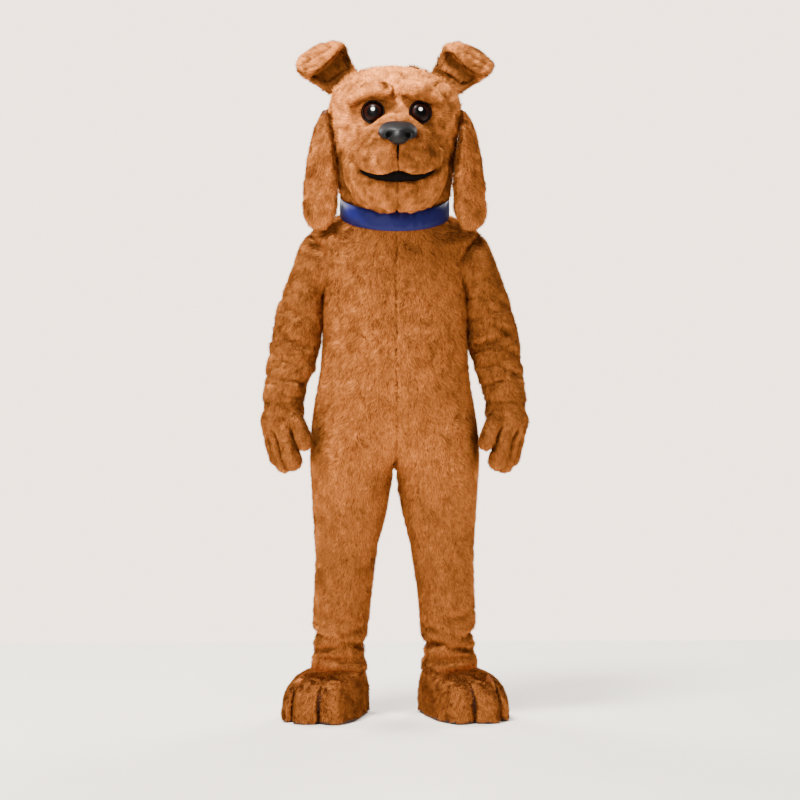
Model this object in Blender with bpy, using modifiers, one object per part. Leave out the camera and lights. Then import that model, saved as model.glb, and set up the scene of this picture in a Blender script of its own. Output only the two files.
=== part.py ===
"""Dog mascot costume, standing as if worn: head, collar, plush suit, gloves and feet.

Every piece is modelled from the floor up, facing -Y, with the costume's left side at +X. The empty
that carries them then lowers the whole costume, so that the origin lies between the shoulders, where
the wearer holds it up. Metres throughout.
"""
import math

import bmesh
import bpy
from mathutils import Vector

for old in list(bpy.data.objects):
    bpy.data.objects.remove(old, do_unlink=True)

# ---------------------------------------------------------------- driving dimensions
SHOULDER_HEIGHT = 1.43      # floor to the shoulder line, which carries the suit
CLOTH = 0.008               # suit, gloves and feet: backing with its pile
HEAD_WALL = 0.012           # head: foam with its plush
SEAM_GAP = 0.0003           # between pieces that are sewn edge to edge
SEAT_GAP = 0.0016           # between a large curved piece and the curved piece that it lies on
SMALL_SEAT_GAP = 0.0005     # the same for a small one
HALF_SEAM = SEAM_GAP / 2

COLLAR_HEIGHT = 0.058
COLLAR_RADIUS = 0.162
COLLAR_THICKNESS = 0.003
COLLAR_LOW = 1.480          # lower edge of the collar at its sides
NECK_TILT = 0.35            # the neck's planes fall this much for each metre forward
NECK_EDGE = COLLAR_LOW + COLLAR_HEIGHT / 2

ARMHOLE_HEIGHT = 1.335      # centre of the armhole
ARMHOLE_HALF_HEIGHT = 0.095
ARMHOLE_HALF_DEPTH = 0.078
ARMHOLE_LIP = 0.004         # the sleeve's inner edge stands this far inside the armhole's

EYE_APART = 0.0690          # from the middle plane to each eye
EYE_HEIGHT = 1.766
EYE_RADIUS = 0.0285
EYE_RIM = 0.0042
EYE_COLUMNS = 18
SOLE_THICKNESS = 0.008
TOE_OUT = math.radians(15.4)

SUIT_COLUMNS = 6            # faces across one suit panel
SLEEVE_COLUMNS = 14
ARMHOLE_STEPS = SLEEVE_COLUMNS // 2


class Table:
    """Sizes in named columns, one row for each section, read smoothly between the rows."""

    def __init__(self, columns, rows):
        self.names = columns.split()
        self.rows = sorted(rows)
        self.keys = [row[0] for row in self.rows]

    def at(self, name, key):
        """The value of one column at any key, by cubics that never overshoot the rows."""
        column = self.names.index(name)
        values = [row[column] for row in self.rows]
        keys = self.keys
        if key <= keys[0]:
            return values[0]
        if key >= keys[-1]:
            return values[-1]
        low = max(i for i in range(len(keys) - 1) if keys[i] <= key)
        span = keys[low + 1] - keys[low]
        slopes = [self.slope(values, i) for i in (low, low + 1)]
        s = (key - keys[low]) / span
        rise = values[low + 1] - values[low]
        curve = (3 * s ** 2 - 2 * s ** 3) * rise
        return (values[low] + curve + span * (s * (1 - s) ** 2 * slopes[0] - s ** 2 * (1 - s) * slopes[1]))

    def slope(self, values, i):
        """The slope at row i: none at a peak or at either end, otherwise the harmonic mean."""
        if i in (0, len(values) - 1):
            return 0.0
        before = (values[i] - values[i - 1]) / (self.keys[i] - self.keys[i - 1])
        after = (values[i + 1] - values[i]) / (self.keys[i + 1] - self.keys[i])
        if before * after <= 0:
            return 0.0
        return 2 * before * after / (before + after)


# One half of the suit, shoulder to ankle. A section reaches from inner to outer; where inner is
# negative it is cut off at the costume's middle plane, which gives the torso and the crotch curve.
SUIT = Table("height outer inner middle front back square", [
    (0.138, 0.2480, 0.0780, 0.035, 0.088, 0.086, 2.1),
    (0.190, 0.2442, 0.0868, 0.034, 0.084, 0.082, 2.1),
    (0.225, 0.2400, 0.0823, 0.032, 0.084, 0.082, 2.1),
    (0.260, 0.2427, 0.0755, 0.030, 0.088, 0.086, 2.1),
    (0.300, 0.2425, 0.0725, 0.027, 0.092, 0.092, 2.1),
    (0.367, 0.2385, 0.0650, 0.022, 0.096, 0.098, 2.1),
    (0.473, 0.2350, 0.0518, 0.014, 0.105, 0.107, 2.1),
    (0.544, 0.2385, 0.0385, 0.010, 0.115, 0.117, 2.2),
    (0.615, 0.2412, 0.0222, 0.006, 0.126, 0.128, 2.3),
    (0.686, 0.2457, 0.0075, 0.002, 0.138, 0.142, 2.4),
    (0.728, 0.2477, 0.0000, 0.000, 0.1455, 0.150, 2.4),
    (0.742, 0.2490, -0.0105, 0.000, 0.1475, 0.152, 2.4),
    (0.757, 0.2500, -0.029, 0.000, 0.1500, 0.154, 2.4),
    (0.780, 0.2497, -0.058, 0.000, 0.153, 0.157, 2.4),
    (0.825, 0.2480, -0.115, 0.000, 0.159, 0.160, 2.4),
    (0.890, 0.2410, -0.2410, 0.000, 0.168, 0.158, 2.4),
    (0.970, 0.2265, -0.2265, 0.000, 0.173, 0.148, 2.4),
    (1.042, 0.2176, -0.2176, 0.000, 0.173, 0.140, 2.4),
    (1.100, 0.2125, -0.2125, 0.000, 0.171, 0.140, 2.4),
    (1.200, 0.2070, -0.2070, 0.000, 0.168, 0.146, 2.4),
    (1.240, 0.2075, -0.2075, 0.000, 0.166, 0.150, 2.4),
    (1.300, 0.2110, -0.2110, 0.000, 0.164, 0.154, 2.4),
    (1.360, 0.2200, -0.2200, 0.000, 0.162, 0.158, 2.2),
    (1.400, 0.2330, -0.2330, 0.000, 0.161, 0.160, 1.95),
    (1.430, 0.2460, -0.2460, 0.000, 0.160, 0.160, 1.75),
    (1.446, 0.2330, -0.2330, 0.000, 0.160, 0.160, 1.70),
    (1.461, 0.2020, -0.2020, 0.000, 0.160, 0.160, 1.75),
    (1.471, 0.1740, -0.1740, 0.000, 0.160, 0.160, 1.90),
    (1.4775, 0.1582, -0.1582, 0.000, 0.1582, 0.1582, 2.0),
    (1.509, 0.1582, -0.1582, 0.000, 0.1582, 0.1582, 2.0),
])
SUIT_HEIGHTS_BELOW_ARMHOLE = [
    0.138, 0.153, 0.168, 0.181, 0.193, 0.206, 0.220, 0.235, 0.252, 0.290, 0.350, 0.410, 0.470, 0.530,
    0.600, 0.660, 0.705, 0.728, 0.742, 0.757, 0.780, 0.820, 0.880, 0.950, 1.020, 1.090, 1.160,
]
SUIT_HEIGHTS_ABOVE_ARMHOLE = [1.446, 1.461, 1.471, 1.4775, NECK_EDGE - HALF_SEAM]

# A fold is a trough across a section: its height where turn is its own, its turn round the section
# (0 front, 90 outer side, 180 back, 270 inner side), how far round it reaches, its half width, its
# depth, and how much higher it lies 90 degrees further round.
FOLD_COLUMNS = "height turn reach width depth rise".split()
INNER_FOLD = 0.6            # a fold's share that shows inside the cloth
LEG_FOLDS = [
    (0.181, 0, 120, 0.009, 0.0110, 0.000),
    (0.206, 55, 60, 0.009, 0.0085, -0.004),
    (0.222, 300, 60, 0.012, 0.0100, 0.030),
    (0.245, 95, 60, 0.012, 0.0080, 0.010),
    (0.285, 30, 60, 0.016, 0.0060, 0.020),
    (0.184, 185, 80, 0.009, 0.0090, 0.004),
    (0.216, 205, 60, 0.010, 0.0070, 0.010),
    (0.247, 150, 50, 0.011, 0.0060, -0.010),
    (0.300, 340, 60, 0.018, 0.0040, 0.060),
    (0.470, 180, 70, 0.026, 0.0070, 0.010),
    (0.520, 200, 60, 0.022, 0.0050, -0.020),
]
SLEEVE_FOLDS = [
    (0.150, 100, 60, 0.016, 0.0060, 0.050),
    (0.215, 60, 70, 0.014, 0.0060, -0.030),
    (0.262, 150, 80, 0.012, 0.0090, 0.012),
    (0.292, 60, 70, 0.011, 0.0080, 0.016),
    (0.322, 130, 80, 0.011, 0.0090, 0.012),
    (0.352, 60, 60, 0.010, 0.0070, 0.010),
    (0.382, 140, 70, 0.010, 0.0080, 0.006),
    (0.415, 70, 80, 0.010, 0.0070, 0.006),
    (0.445, 160, 70, 0.009, 0.0060, 0.004),
    (0.250, 250, 70, 0.014, 0.0060, 0.010),
    (0.300, 230, 80, 0.012, 0.0080, -0.010),
    (0.345, 260, 70, 0.011, 0.0070, 0.008),
    (0.400, 240, 80, 0.011, 0.0070, 0.006),
]

# One sleeve, from the armhole down. Each section is a slanted ring between an outer and an inner
# point seen from the front; the rings fan out from the underarm.
SLEEVE = Table("along outer_x outer_z inner_x inner_z middle half_depth", [
    (0.000, 0.246, 1.430, 0.2075, 1.240, 0.000, 0.078),
    (0.035, 0.270, 1.405, 0.2105, 1.233, 0.000, 0.083),
    (0.080, 0.291, 1.357, 0.2125, 1.221, 0.000, 0.085),
    (0.130, 0.310, 1.306, 0.2145, 1.204, 0.000, 0.084),
    (0.180, 0.328, 1.258, 0.2160, 1.183, -0.001, 0.081),
    (0.225, 0.343, 1.214, 0.2175, 1.158, -0.002, 0.077),
    (0.270, 0.354, 1.170, 0.2185, 1.130, -0.004, 0.074),
    (0.310, 0.360, 1.132, 0.2205, 1.102, -0.006, 0.072),
    (0.345, 0.368, 1.098, 0.2240, 1.076, -0.008, 0.070),
    (0.380, 0.374, 1.064, 0.2295, 1.052, -0.011, 0.068),
    (0.410, 0.377, 1.034, 0.2365, 1.028, -0.013, 0.066),
    (0.440, 0.380, 1.004, 0.2450, 1.002, -0.015, 0.063),
    (0.475, 0.384, 0.970, 0.2580, 0.970, -0.018, 0.060),
    (0.508, 0.388, 0.937, 0.2665, 0.937, -0.020, 0.057),
])
SLEEVE_STEPS = [
    0.035, 0.080, 0.130, 0.175, 0.215, 0.245, 0.265, 0.285, 0.303, 0.322, 0.340, 0.358, 0.378,
    0.398, 0.420, 0.445, 0.475, 0.508,
]

# The head, from the neck edge to where the dome begins, and the dome above that.
HEAD = Table("height half_width front back square", [
    (1.509, 0.1582, 0.1582, 0.1582, 2.0),
    (1.539, 0.1582, 0.1582, 0.1582, 2.0),
    (1.548, 0.1640, 0.1620, 0.1660, 2.0),
    (1.560, 0.1680, 0.1650, 0.1740, 2.1),
    (1.586, 0.1725, 0.1680, 0.1860, 2.2),
    (1.640, 0.1800, 0.1730, 0.2000, 2.2),
    (1.700, 0.1880, 0.1770, 0.2090, 2.2),
    (1.750, 0.1940, 0.1780, 0.2130, 2.2),
    (1.787, 0.1965, 0.1760, 0.2140, 2.2),
])
HEAD_HEIGHTS = [1.539, 1.548, 1.570, 1.605, 1.650, 1.700, 1.745]
DOME_BASE = 1.787
DOME_RISE = 0.1345
DOME_STEPS = 6
SEAM_TURN = 74.0            # degrees round from the front to the seam between face and side

# The muzzle's outline on the face, and how far its middle stands out from the face.
MUZZLE = Table("height half_width depth", [
    (1.478, 0.000, 0.030),
    (1.484, 0.040, 0.052),
    (1.500, 0.086, 0.078),
    (1.524, 0.120, 0.092),
    (1.556, 0.143, 0.100),
    (1.584, 0.154, 0.116),
    (1.608, 0.157, 0.124),
    (1.641, 0.146, 0.126),
    (1.670, 0.124, 0.118),
    (1.701, 0.094, 0.098),
    (1.730, 0.056, 0.062),
    (1.748, 0.034, 0.032),
    (1.759, 0.000, 0.012),
])
CHEEK_SEAM = 1.648          # where the seam from the corner of the mouth meets the outline
MOUTH_CORNER = (0.112, 1.597)
LIP_MIDDLE = 1.585
LIP_LOWEST = (0.043, 1.5735)
CHIN_MIDDLE = 1.561
LIP_GAP = 0.0026            # half the gap that holds the lip line
LIP_ROLL = 0.010            # how far the pads' edges turn back into the mouth and its seams
NOSE_GAP = 0.0015           # between the nose and the pads that it lies on
LINING_GAP = 0.0011         # between the mouth's lining and the lips above and below it
LINING_HALF_WIDTH = 0.080

# Hanging ears: sections from the root down, turned about the vertical.
SIDE_EAR = Table("height centre_x centre_y half_broad half_thin turn", [
    (1.434, 0.2230, -0.066, 0.012, 0.007, 48),
    (1.442, 0.2225, -0.065, 0.030, 0.017, 48),
    (1.458, 0.2215, -0.063, 0.048, 0.026, 48),
    (1.482, 0.2205, -0.061, 0.059, 0.031, 48),
    (1.520, 0.2190, -0.058, 0.064, 0.032, 46),
    (1.560, 0.2180, -0.055, 0.064, 0.032, 43),
    (1.610, 0.2170, -0.050, 0.062, 0.031, 38),
    (1.660, 0.2170, -0.044, 0.058, 0.028, 32),
    (1.700, 0.2160, -0.038, 0.054, 0.024, 27),
    (1.740, 0.2135, -0.030, 0.047, 0.018, 22),
    (1.770, 0.2075, -0.024, 0.038, 0.011, 18),
    (1.790, 0.2005, -0.020, 0.028, 0.004, 15),
])
SIDE_EAR_HEIGHTS = [1.434, 1.442, 1.458, 1.482, 1.520, 1.565, 1.610, 1.655, 1.700, 1.740, 1.770, 1.790]
SIDE_EAR_ARC = 7            # points round half a section

# Folded ears: each row is a cut across the ear, from near the crown out to the tip.
TOP_EAR = Table("along base_x base_y base_z ridge_x ridge_y ridge_z edge_x edge_y edge_z half", [
    (0, 0.1000, 0.012, 1.9040, 0.1450, 0.006, 1.9660, 0.1480, -0.012, 1.9560, 0.0050),
    (1, 0.1130, 0.012, 1.8980, 0.1560, 0.002, 1.9860, 0.1600, -0.034, 1.9640, 0.0105),
    (2, 0.1350, 0.012, 1.8860, 0.1765, 0.000, 1.9880, 0.1820, -0.046, 1.9400, 0.0120),
    (3, 0.1620, 0.012, 1.8660, 0.2050, -0.002, 1.9830, 0.2080, -0.052, 1.9120, 0.0130),
    (4, 0.1860, 0.012, 1.8430, 0.2320, -0.006, 1.9720, 0.2320, -0.057, 1.8940, 0.0135),
    (5, 0.2170, 0.008, 1.8640, 0.2570, -0.012, 1.9560, 0.2500, -0.058, 1.8880, 0.0130),
    (6, 0.2470, 0.000, 1.8840, 0.2750, -0.022, 1.9380, 0.2680, -0.055, 1.8890, 0.0115),
    (7, 0.2700, -0.014, 1.8990, 0.2850, -0.032, 1.9220, 0.2820, -0.048, 1.9020, 0.0075),
])
TOP_EAR_STATIONS = 10
EAR_BOW = 0.016             # how far the standing part bows back
EAR_ROOT_END = 4            # the last row that stands on the head

# Feet, seen in their own frame: lateral is outward, forward is to the toes.
FOOT_ORIGIN = Vector((0.190, 0.040, 0.0))
FOOT_FRONT_SQUARE = 2.5
FOOT_RISE = 0.1375          # height of the instep where it meets the shaft
SHAFT_TOP = 0.159
FOOT_STEPS = 6
TOES = [                    # lateral start, lateral end, forward reach
    (-0.112, -0.021, 0.230),
    (-0.021, 0.061, 0.237),
    (0.061, 0.112, 0.206),
]
TOE_GROOVE = 0.020
TOE_GROOVE_TOP = 0.9        # the grooves end at this share of the instep's height
TOE_ROUNDING = 0.055        # how far the outer corners of the toes fall back
FOOT_HALF_WIDTH = 0.112
HEEL_HALF_WIDTH = 0.102
HEEL_REACH = 0.125

COSTUME = bpy.data.collections.new("dog_mascot_costume")
CUTTERS = bpy.data.collections.new("cutters")
CARRIER = bpy.data.objects.new("carrier", None)

FINISHES = {                # colour, roughness, metallic
    "plush": ((0.46, 0.21, 0.075), 0.95, 0.0),
    "ear_lining": ((0.30, 0.13, 0.05), 0.95, 0.0),
    "collar_satin": ((0.028, 0.035, 0.16), 0.5, 0.0),
    "mouth_cloth": ((0.006, 0.005, 0.005), 0.9, 0.0),
    "nose_moulding": ((0.02, 0.02, 0.024), 0.45, 0.0),
    "eye_glass": ((0.03, 0.012, 0.01), 0.05, 0.0),
    "eye_rim": ((0.012, 0.010, 0.010), 0.35, 0.0),
    "sole_rubber": ((0.012, 0.012, 0.012), 0.8, 0.0),
}


# ---------------------------------------------------------------- making and placing
def start_costume():
    scene = bpy.context.scene
    scene.collection.children.link(COSTUME)
    scene.collection.children.link(CUTTERS)
    COSTUME.objects.link(CARRIER)
    CARRIER.location = (0.0, 0.0, -SHOULDER_HEIGHT)


def material_for(name, finish):
    """A material of the piece's own, in one of the costume's finishes."""
    colour, roughness, metallic = FINISHES[finish]
    material = bpy.data.materials.new(f"{name}_{finish}")
    material.use_nodes = True
    shader = material.node_tree.nodes["Principled BSDF"]
    shader.inputs["Base Color"].default_value = (*colour, 1.0)
    shader.inputs["Roughness"].default_value = roughness
    shader.inputs["Metallic"].default_value = metallic
    material.diffuse_color = (*colour, 1.0)
    return material


def place(mesh, name, finish):
    """Puts a finished mesh into the costume as a named piece."""
    piece = bpy.data.objects.new(name, mesh)
    mesh.materials.append(material_for(name, finish))
    COSTUME.objects.link(piece)
    piece.parent = CARRIER
    return piece


def closed_mesh(name, points, faces):
    """A mesh from points and faces, with doubles merged and its faces pointing out."""
    mesh = bpy.data.meshes.new(name)
    mesh.from_pydata([tuple(p) for p in points], [], faces)
    shape = bmesh.new()
    shape.from_mesh(mesh)
    bmesh.ops.remove_doubles(shape, verts=shape.verts, dist=1e-6)
    bmesh.ops.recalc_face_normals(shape, faces=shape.faces)
    shape.to_mesh(mesh)
    shape.free()
    mesh.shade_smooth()
    mesh.set_sharp_from_angle(angle=math.radians(50))
    return mesh


def mirrored(points, side):
    return [[Vector((side * p.x, p.y, p.z)) for p in row] for row in points]


def wall(name, outer, inner, finish, tube=False):
    """A wall between two grids of points. A tube closes round its columns; a panel has four edges."""
    rows = len(outer)
    columns = len(outer[0])
    points = [p for grid in (outer, inner) for row in grid for p in row]
    faces = []

    def at(layer, r, c):
        return layer * rows * columns + r * columns + c % columns

    steps = columns if tube else columns - 1
    for r in range(rows - 1):
        for c in range(steps):
            faces.append((at(0, r, c), at(0, r, c + 1), at(0, r + 1, c + 1), at(0, r + 1, c)))
            faces.append((at(1, r, c), at(1, r + 1, c), at(1, r + 1, c + 1), at(1, r, c + 1)))
    for r in (0, rows - 1):
        for c in range(steps):
            faces.append((at(0, r, c), at(1, r, c), at(1, r, c + 1), at(0, r, c + 1)))
    if not tube:
        for c in (0, columns - 1):
            for r in range(rows - 1):
                faces.append((at(0, r, c), at(0, r + 1, c), at(1, r + 1, c), at(1, r, c)))
    return place(closed_mesh(name, points, faces), name, finish)


def lofted(name, rings, finish):
    """A closed body through rings of points. A ring of one point is a pole; a last ring is capped."""
    points = [p for ring in rings for p in ring]
    starts = [sum(len(ring) for ring in rings[:i]) for i in range(len(rings))]
    faces = []
    for i in range(len(rings) - 1):
        here, there = rings[i], rings[i + 1]
        count = max(len(here), len(there))
        for c in range(count):
            low = [starts[i] + c % len(here), starts[i] + (c + 1) % len(here)]
            high = [starts[i + 1] + (c + 1) % len(there), starts[i + 1] + c % len(there)]
            face = low[:1] if len(here) == 1 else low
            face = face + (high[:1] if len(there) == 1 else high)
            faces.append(tuple(face))
    for i in (0, len(rings) - 1):
        if len(rings[i]) > 1:
            faces.append(tuple(starts[i] + c for c in range(len(rings[i]))))
    return place(closed_mesh(name, points, faces), name, finish)


def rounded(angle, square):
    """Sine and cosine of an angle, drawn towards a square by an exponent over 2."""
    power = 2.0 / square
    s, c = math.sin(angle), math.cos(angle)
    return math.copysign(abs(s) ** power, s), math.copysign(abs(c) ** power, c)


def neck_shear(height):
    """How far a section falls for each metre forward: none on the body, all of it at the neck."""
    start, full = 1.24, 1.475
    s = min(max((height - start) / (full - start), 0.0), 1.0)
    return NECK_TILT * s * s * (3 - 2 * s)


def head_shear(height):
    """The same on the head: all of it at the neck edge, none above the chin."""
    full, end = 1.545, 1.640
    s = min(max((end - height) / (end - full), 0.0), 1.0)
    return NECK_TILT * s * s * (3 - 2 * s)


def fold_depth(folds, height, turn):
    """How far the folds draw the cloth in at a height and at a turn in degrees."""
    depth = 0.0
    for fold in folds:
        size = dict(zip(FOLD_COLUMNS, fold))
        apart = (turn - size["turn"] + 180) % 360 - 180
        if abs(apart) < size["reach"]:
            fade = math.cos(math.pi / 2 * apart / size["reach"]) ** 2
            middle = size["height"] + size["rise"] * apart / 90
            depth += size["depth"] * fade * math.exp(-((height - middle) / size["width"]) ** 2)
    return depth


# ---------------------------------------------------------------- suit
def suit_point(height, share, back, inset):
    """A point of the suit's left half. share runs 0 to 1 from the middle seam or inseam to the side."""
    outer, inner = SUIT.at("outer", height), SUIT.at("inner", height)
    centre, half = (outer + inner) / 2, (outer - inner) / 2 - inset
    deep = SUIT.at("back" if back else "front", height) - inset
    square = SUIT.at("square", height)
    cut = min((centre - HALF_SEAM) / half, 1.0)
    start = -math.asin(math.copysign(abs(cut) ** (square / 2), cut))
    end = math.pi / 2
    reach = (height - ARMHOLE_HEIGHT) / ARMHOLE_HALF_HEIGHT
    if abs(reach) < 1:
        opening = ARMHOLE_HALF_DEPTH * math.sqrt(1 - reach ** 2)
        end = math.acos(min(opening / deep, 1.0) ** (square / 2))
    angle = start + share * (end - start)
    s, c = rounded(angle, square)
    turn = math.degrees(angle)
    drawn = fold_depth(LEG_FOLDS, height, 180 - turn if back else turn)
    drawn *= INNER_FOLD if inset else 1.0
    x = centre + (half - drawn) * s
    y = (deep - drawn) * c
    x = max(x, HALF_SEAM)
    y = max(y, HALF_SEAM)
    y = SUIT.at("middle", height) + (y if back else -y)
    return Vector((x, y, height + neck_shear(height) * y))


def armhole_heights():
    steps = range(ARMHOLE_STEPS + 1)
    return [ARMHOLE_HEIGHT - ARMHOLE_HALF_HEIGHT * math.cos(math.pi * i / ARMHOLE_STEPS) for i in steps]


def suit_grid(back, inset):
    heights = SUIT_HEIGHTS_BELOW_ARMHOLE + armhole_heights() + SUIT_HEIGHTS_ABOVE_ARMHOLE
    shares = [c / SUIT_COLUMNS for c in range(SUIT_COLUMNS + 1)]
    return [[suit_point(height, share, back, inset) for share in shares] for height in heights]


def make_suit():
    for back in (False, True):
        outer, inner = suit_grid(back, 0.0), suit_grid(back, CLOTH)
        for side, label in ((1, "left"), (-1, "right")):
            name = f"suit_{'back' if back else 'front'}_{label}"
            wall(name, mirrored(outer, side), mirrored(inner, side), "plush")


def armhole_ring(inset):
    """The armhole's edge in the suit's own points, drawn in clear of it."""
    heights = armhole_heights()
    front = [suit_point(height, 1.0, False, inset) for height in reversed(heights)]
    back = [suit_point(height, 1.0, True, inset) for height in heights]
    ring = front + back[1:-1]
    middle = Vector((0.0, 0.0, ARMHOLE_HEIGHT))
    drawn = []
    for p in ring:
        inward = Vector((0.0, middle.y - p.y, middle.z - p.z)).normalized()
        drawn.append(p + inward * (ARMHOLE_LIP if inset else SEAM_GAP))
    return drawn


def sleeve_ring(along, inset):
    """One slanted ring: it starts at its outer point and goes round by the front."""
    high = Vector((SLEEVE.at("outer_x", along), 0.0, SLEEVE.at("outer_z", along)))
    low = Vector((SLEEVE.at("inner_x", along), 0.0, SLEEVE.at("inner_z", along)))
    centre = (high + low) / 2
    centre.y = SLEEVE.at("middle", along)
    half = (high - low) / 2
    wide, direction = half.length, half.normalized()
    ring = []
    for c in range(SLEEVE_COLUMNS):
        turn = 360.0 * c / SLEEVE_COLUMNS
        s, k = rounded(math.radians(turn), 2.2)
        drawn = inset + fold_depth(SLEEVE_FOLDS, along, turn) * (INNER_FOLD if inset else 1.0)
        across = direction * (wide - drawn) * k
        ring.append(centre + across + Vector((0.0, -(SLEEVE.at("half_depth", along) - drawn) * s, 0.0)))
    return ring


def make_sleeves():
    grids = []
    for inset in (0.0, CLOTH):
        grids.append([armhole_ring(inset)] + [sleeve_ring(along, inset) for along in SLEEVE_STEPS])
    for side, label in ((1, "left"), (-1, "right")):
        outer, inner = (mirrored(grid, side) for grid in grids)
        wall(f"sleeve_{label}", outer, inner, "plush", tube=True)


# ---------------------------------------------------------------- head
def head_section(height, inset):
    """Half width, front, back and squareness of the head, with the dome above DOME_BASE."""
    if height <= DOME_BASE:
        sizes = [HEAD.at(name, height) - inset for name in ("half_width", "front", "back")]
        return (*sizes, HEAD.at("square", height))
    up = min((height - DOME_BASE) / (DOME_RISE - inset), 1.0)
    shrink = math.sqrt(max(1 - up ** 2.15, 0.0))
    sizes = [(HEAD.at(name, DOME_BASE) - inset) * shrink for name in ("half_width", "front", "back")]
    return (*sizes, 2.2 - 0.2 * up)


def head_point(height, turn, inset):
    """A point of the head at a turn in degrees from the front towards the left side."""
    half, front, back, square = head_section(height, inset)
    s, c = rounded(math.radians(turn), square)
    y = -front * c if c > 0 else -back * c
    return Vector((half * s, y, height + head_shear(height) * y))


def face_y(x, z, grow=0.0):
    """Where the face's outer surface lies in depth, seen from the front, or a surface grown from it."""
    y, height = -0.16, z
    for _ in range(12):
        height = z - head_shear(height) * y
        half, front, _, square = head_section(height, -grow)
        y = -front * max(1 - min(abs(x) / half, 1.0) ** square, 0.0) ** (1 / square)
    return y


def face_seat(x, z, gap=SMALL_SEAT_GAP):
    """The surface that pieces on the face rest on."""
    return face_y(x, z, gap)


def dome_height(x, y):
    """The height of a seat on the head's dome, over a point seen from above."""
    half = HEAD.at("half_width", DOME_BASE) + SMALL_SEAT_GAP
    deep = HEAD.at("front" if y < 0 else "back", DOME_BASE) + SMALL_SEAT_GAP
    share = (abs(x / half) ** 2.1 + abs(y / deep) ** 2.1) ** (1 / 2.1)
    return DOME_BASE + (DOME_RISE + SMALL_SEAT_GAP) * max(1 - share ** 2, 0.0) ** (1 / 2.15)


def head_grid(turns, inset):
    """Rows from the neck edge to the crown, which each panel reaches in its own point."""
    edge = NECK_EDGE + HALF_SEAM
    rows = [[head_point(height, turn, inset) for turn in turns] for height in [edge] + HEAD_HEIGHTS]
    for step in range(DOME_STEPS):
        up = math.sin(math.pi / 2 * step / DOME_STEPS)
        height = DOME_BASE + (DOME_RISE - inset) * up
        rows.append([head_point(height, turn, inset) for turn in turns])
    middle = math.radians((turns[0] + turns[-1]) / 2)
    crown = Vector((math.sin(middle), -math.cos(middle), 0.0)) * 2 * SEAM_GAP
    crown.z = DOME_BASE + DOME_RISE - inset
    rows.append([crown.copy() for _ in turns])
    return rows


def part_seams(rows):
    """Draws the first and the last column in by half the seam's gap."""
    for row in rows[:-1]:
        for end, inside in ((0, 1), (-1, -2)):
            inward = row[inside] - row[end]
            row[end] = row[end] + inward.normalized() * HALF_SEAM
    return rows


def make_head():
    """A face panel over the front, and a side panel on each side that meets its twin at the back."""
    face_turns = [-SEAM_TURN + 2 * SEAM_TURN * c / 12 for c in range(13)]
    side_turns = [SEAM_TURN + (180 - SEAM_TURN) * c / 8 for c in range(9)]
    outer, inner = (part_seams(head_grid(face_turns, inset)) for inset in (0.0, HEAD_WALL))
    wall("head_face", outer, inner, "plush")
    outer, inner = (part_seams(head_grid(side_turns, inset)) for inset in (0.0, HEAD_WALL))
    for side, label in ((1, "left"), (-1, "right")):
        wall(f"head_side_{label}", mirrored(outer, side), mirrored(inner, side), "plush")


# ---------------------------------------------------------------- muzzle and mouth
def muzzle_front(x, z):
    """The muzzle's front surface in depth."""
    half = max(MUZZLE.at("half_width", z), 0.004)
    bulge = max(1 - min(abs(x) / half, 1.0) ** 2.5, 0.0) ** 0.5
    return face_y(x, z) - 0.006 - MUZZLE.at("depth", z) * bulge


def lip_height(x):
    """The lower edge of the lip pads: highest in the middle and at the corners of the smile."""
    middle_x, lowest = LIP_LOWEST
    corner_x, corner = MOUTH_CORNER
    if x < middle_x:
        s = x / middle_x
        return LIP_MIDDLE + (lowest - LIP_MIDDLE) * (3 * s * s - 2 * s ** 3)
    return lowest + (corner - lowest) * ((x - middle_x) / (corner_x - middle_x)) ** 2


def chin_height(x):
    """The upper edge of the chin pads, which meets the lip pads at the corners of the smile."""
    corner_x, corner = MOUTH_CORNER
    return CHIN_MIDDLE + (corner - CHIN_MIDDLE) * (x / corner_x) ** 3


def muzzle_grid(edge_height, end_height, rows, columns, lip):
    """Front and back grids of one pad, from its edge at the mouth to the outline's far end."""
    front, back = [], []
    outline_edge = CHEEK_SEAM + (HALF_SEAM if lip else -HALF_SEAM)
    lead = LIP_GAP if lip else HALF_SEAM
    for r in range(rows + 1):
        s = math.sin(math.pi / 2 * r / rows)
        outline = outline_edge + (end_height - outline_edge) * s
        inside = edge_height(0.0) + (end_height - edge_height(0.0)) * s
        half = MUZZLE.at("half_width", outline)
        front_row, back_row = [], []
        for c in range(columns + 1):
            share = math.sin(math.pi / 2 * c / columns)
            x = lead + (half - lead) * share
            straight = inside + (outline - inside) * share ** 2
            curved = min(edge_height(x), outline_edge) if x < MOUTH_CORNER[0] else None
            if curved is None:
                beyond = (x - MOUTH_CORNER[0]) / (half - MOUTH_CORNER[0]) if half > x else 1.0
                curved = MOUTH_CORNER[1] + (outline_edge - MOUTH_CORNER[1]) * beyond
            z = curved + (straight - curved) * min(1.0, s * 2.0) if r else curved
            z += HALF_SEAM if lip else -HALF_SEAM
            depth = muzzle_front(x, z)
            roll = LIP_ROLL * math.exp(-((z - curved) / 0.008) ** 2)
            roll += 0.009 * math.exp(-((x - lead) / 0.007) ** 2) if lip else 0.0
            flesh = face_seat(x, z, SEAT_GAP)
            front_row.append(Vector((x, min(depth + roll, flesh - 0.004), z)))
            back_row.append(Vector((x, flesh, z)))
        front.append(front_row)
        back.append(back_row)
    return front, back


def make_muzzle():
    lips = muzzle_grid(lip_height, 1.7555, 8, 8, True)
    chin = muzzle_grid(chin_height, 1.4845, 6, 8, False)
    for side, label in ((1, "left"), (-1, "right")):
        wall(f"muzzle_upper_{label}", mirrored(lips[0], side), mirrored(lips[1], side), "plush")
        wall(f"muzzle_lower_{label}", mirrored(chin[0], side), mirrored(chin[1], side), "plush")


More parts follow.
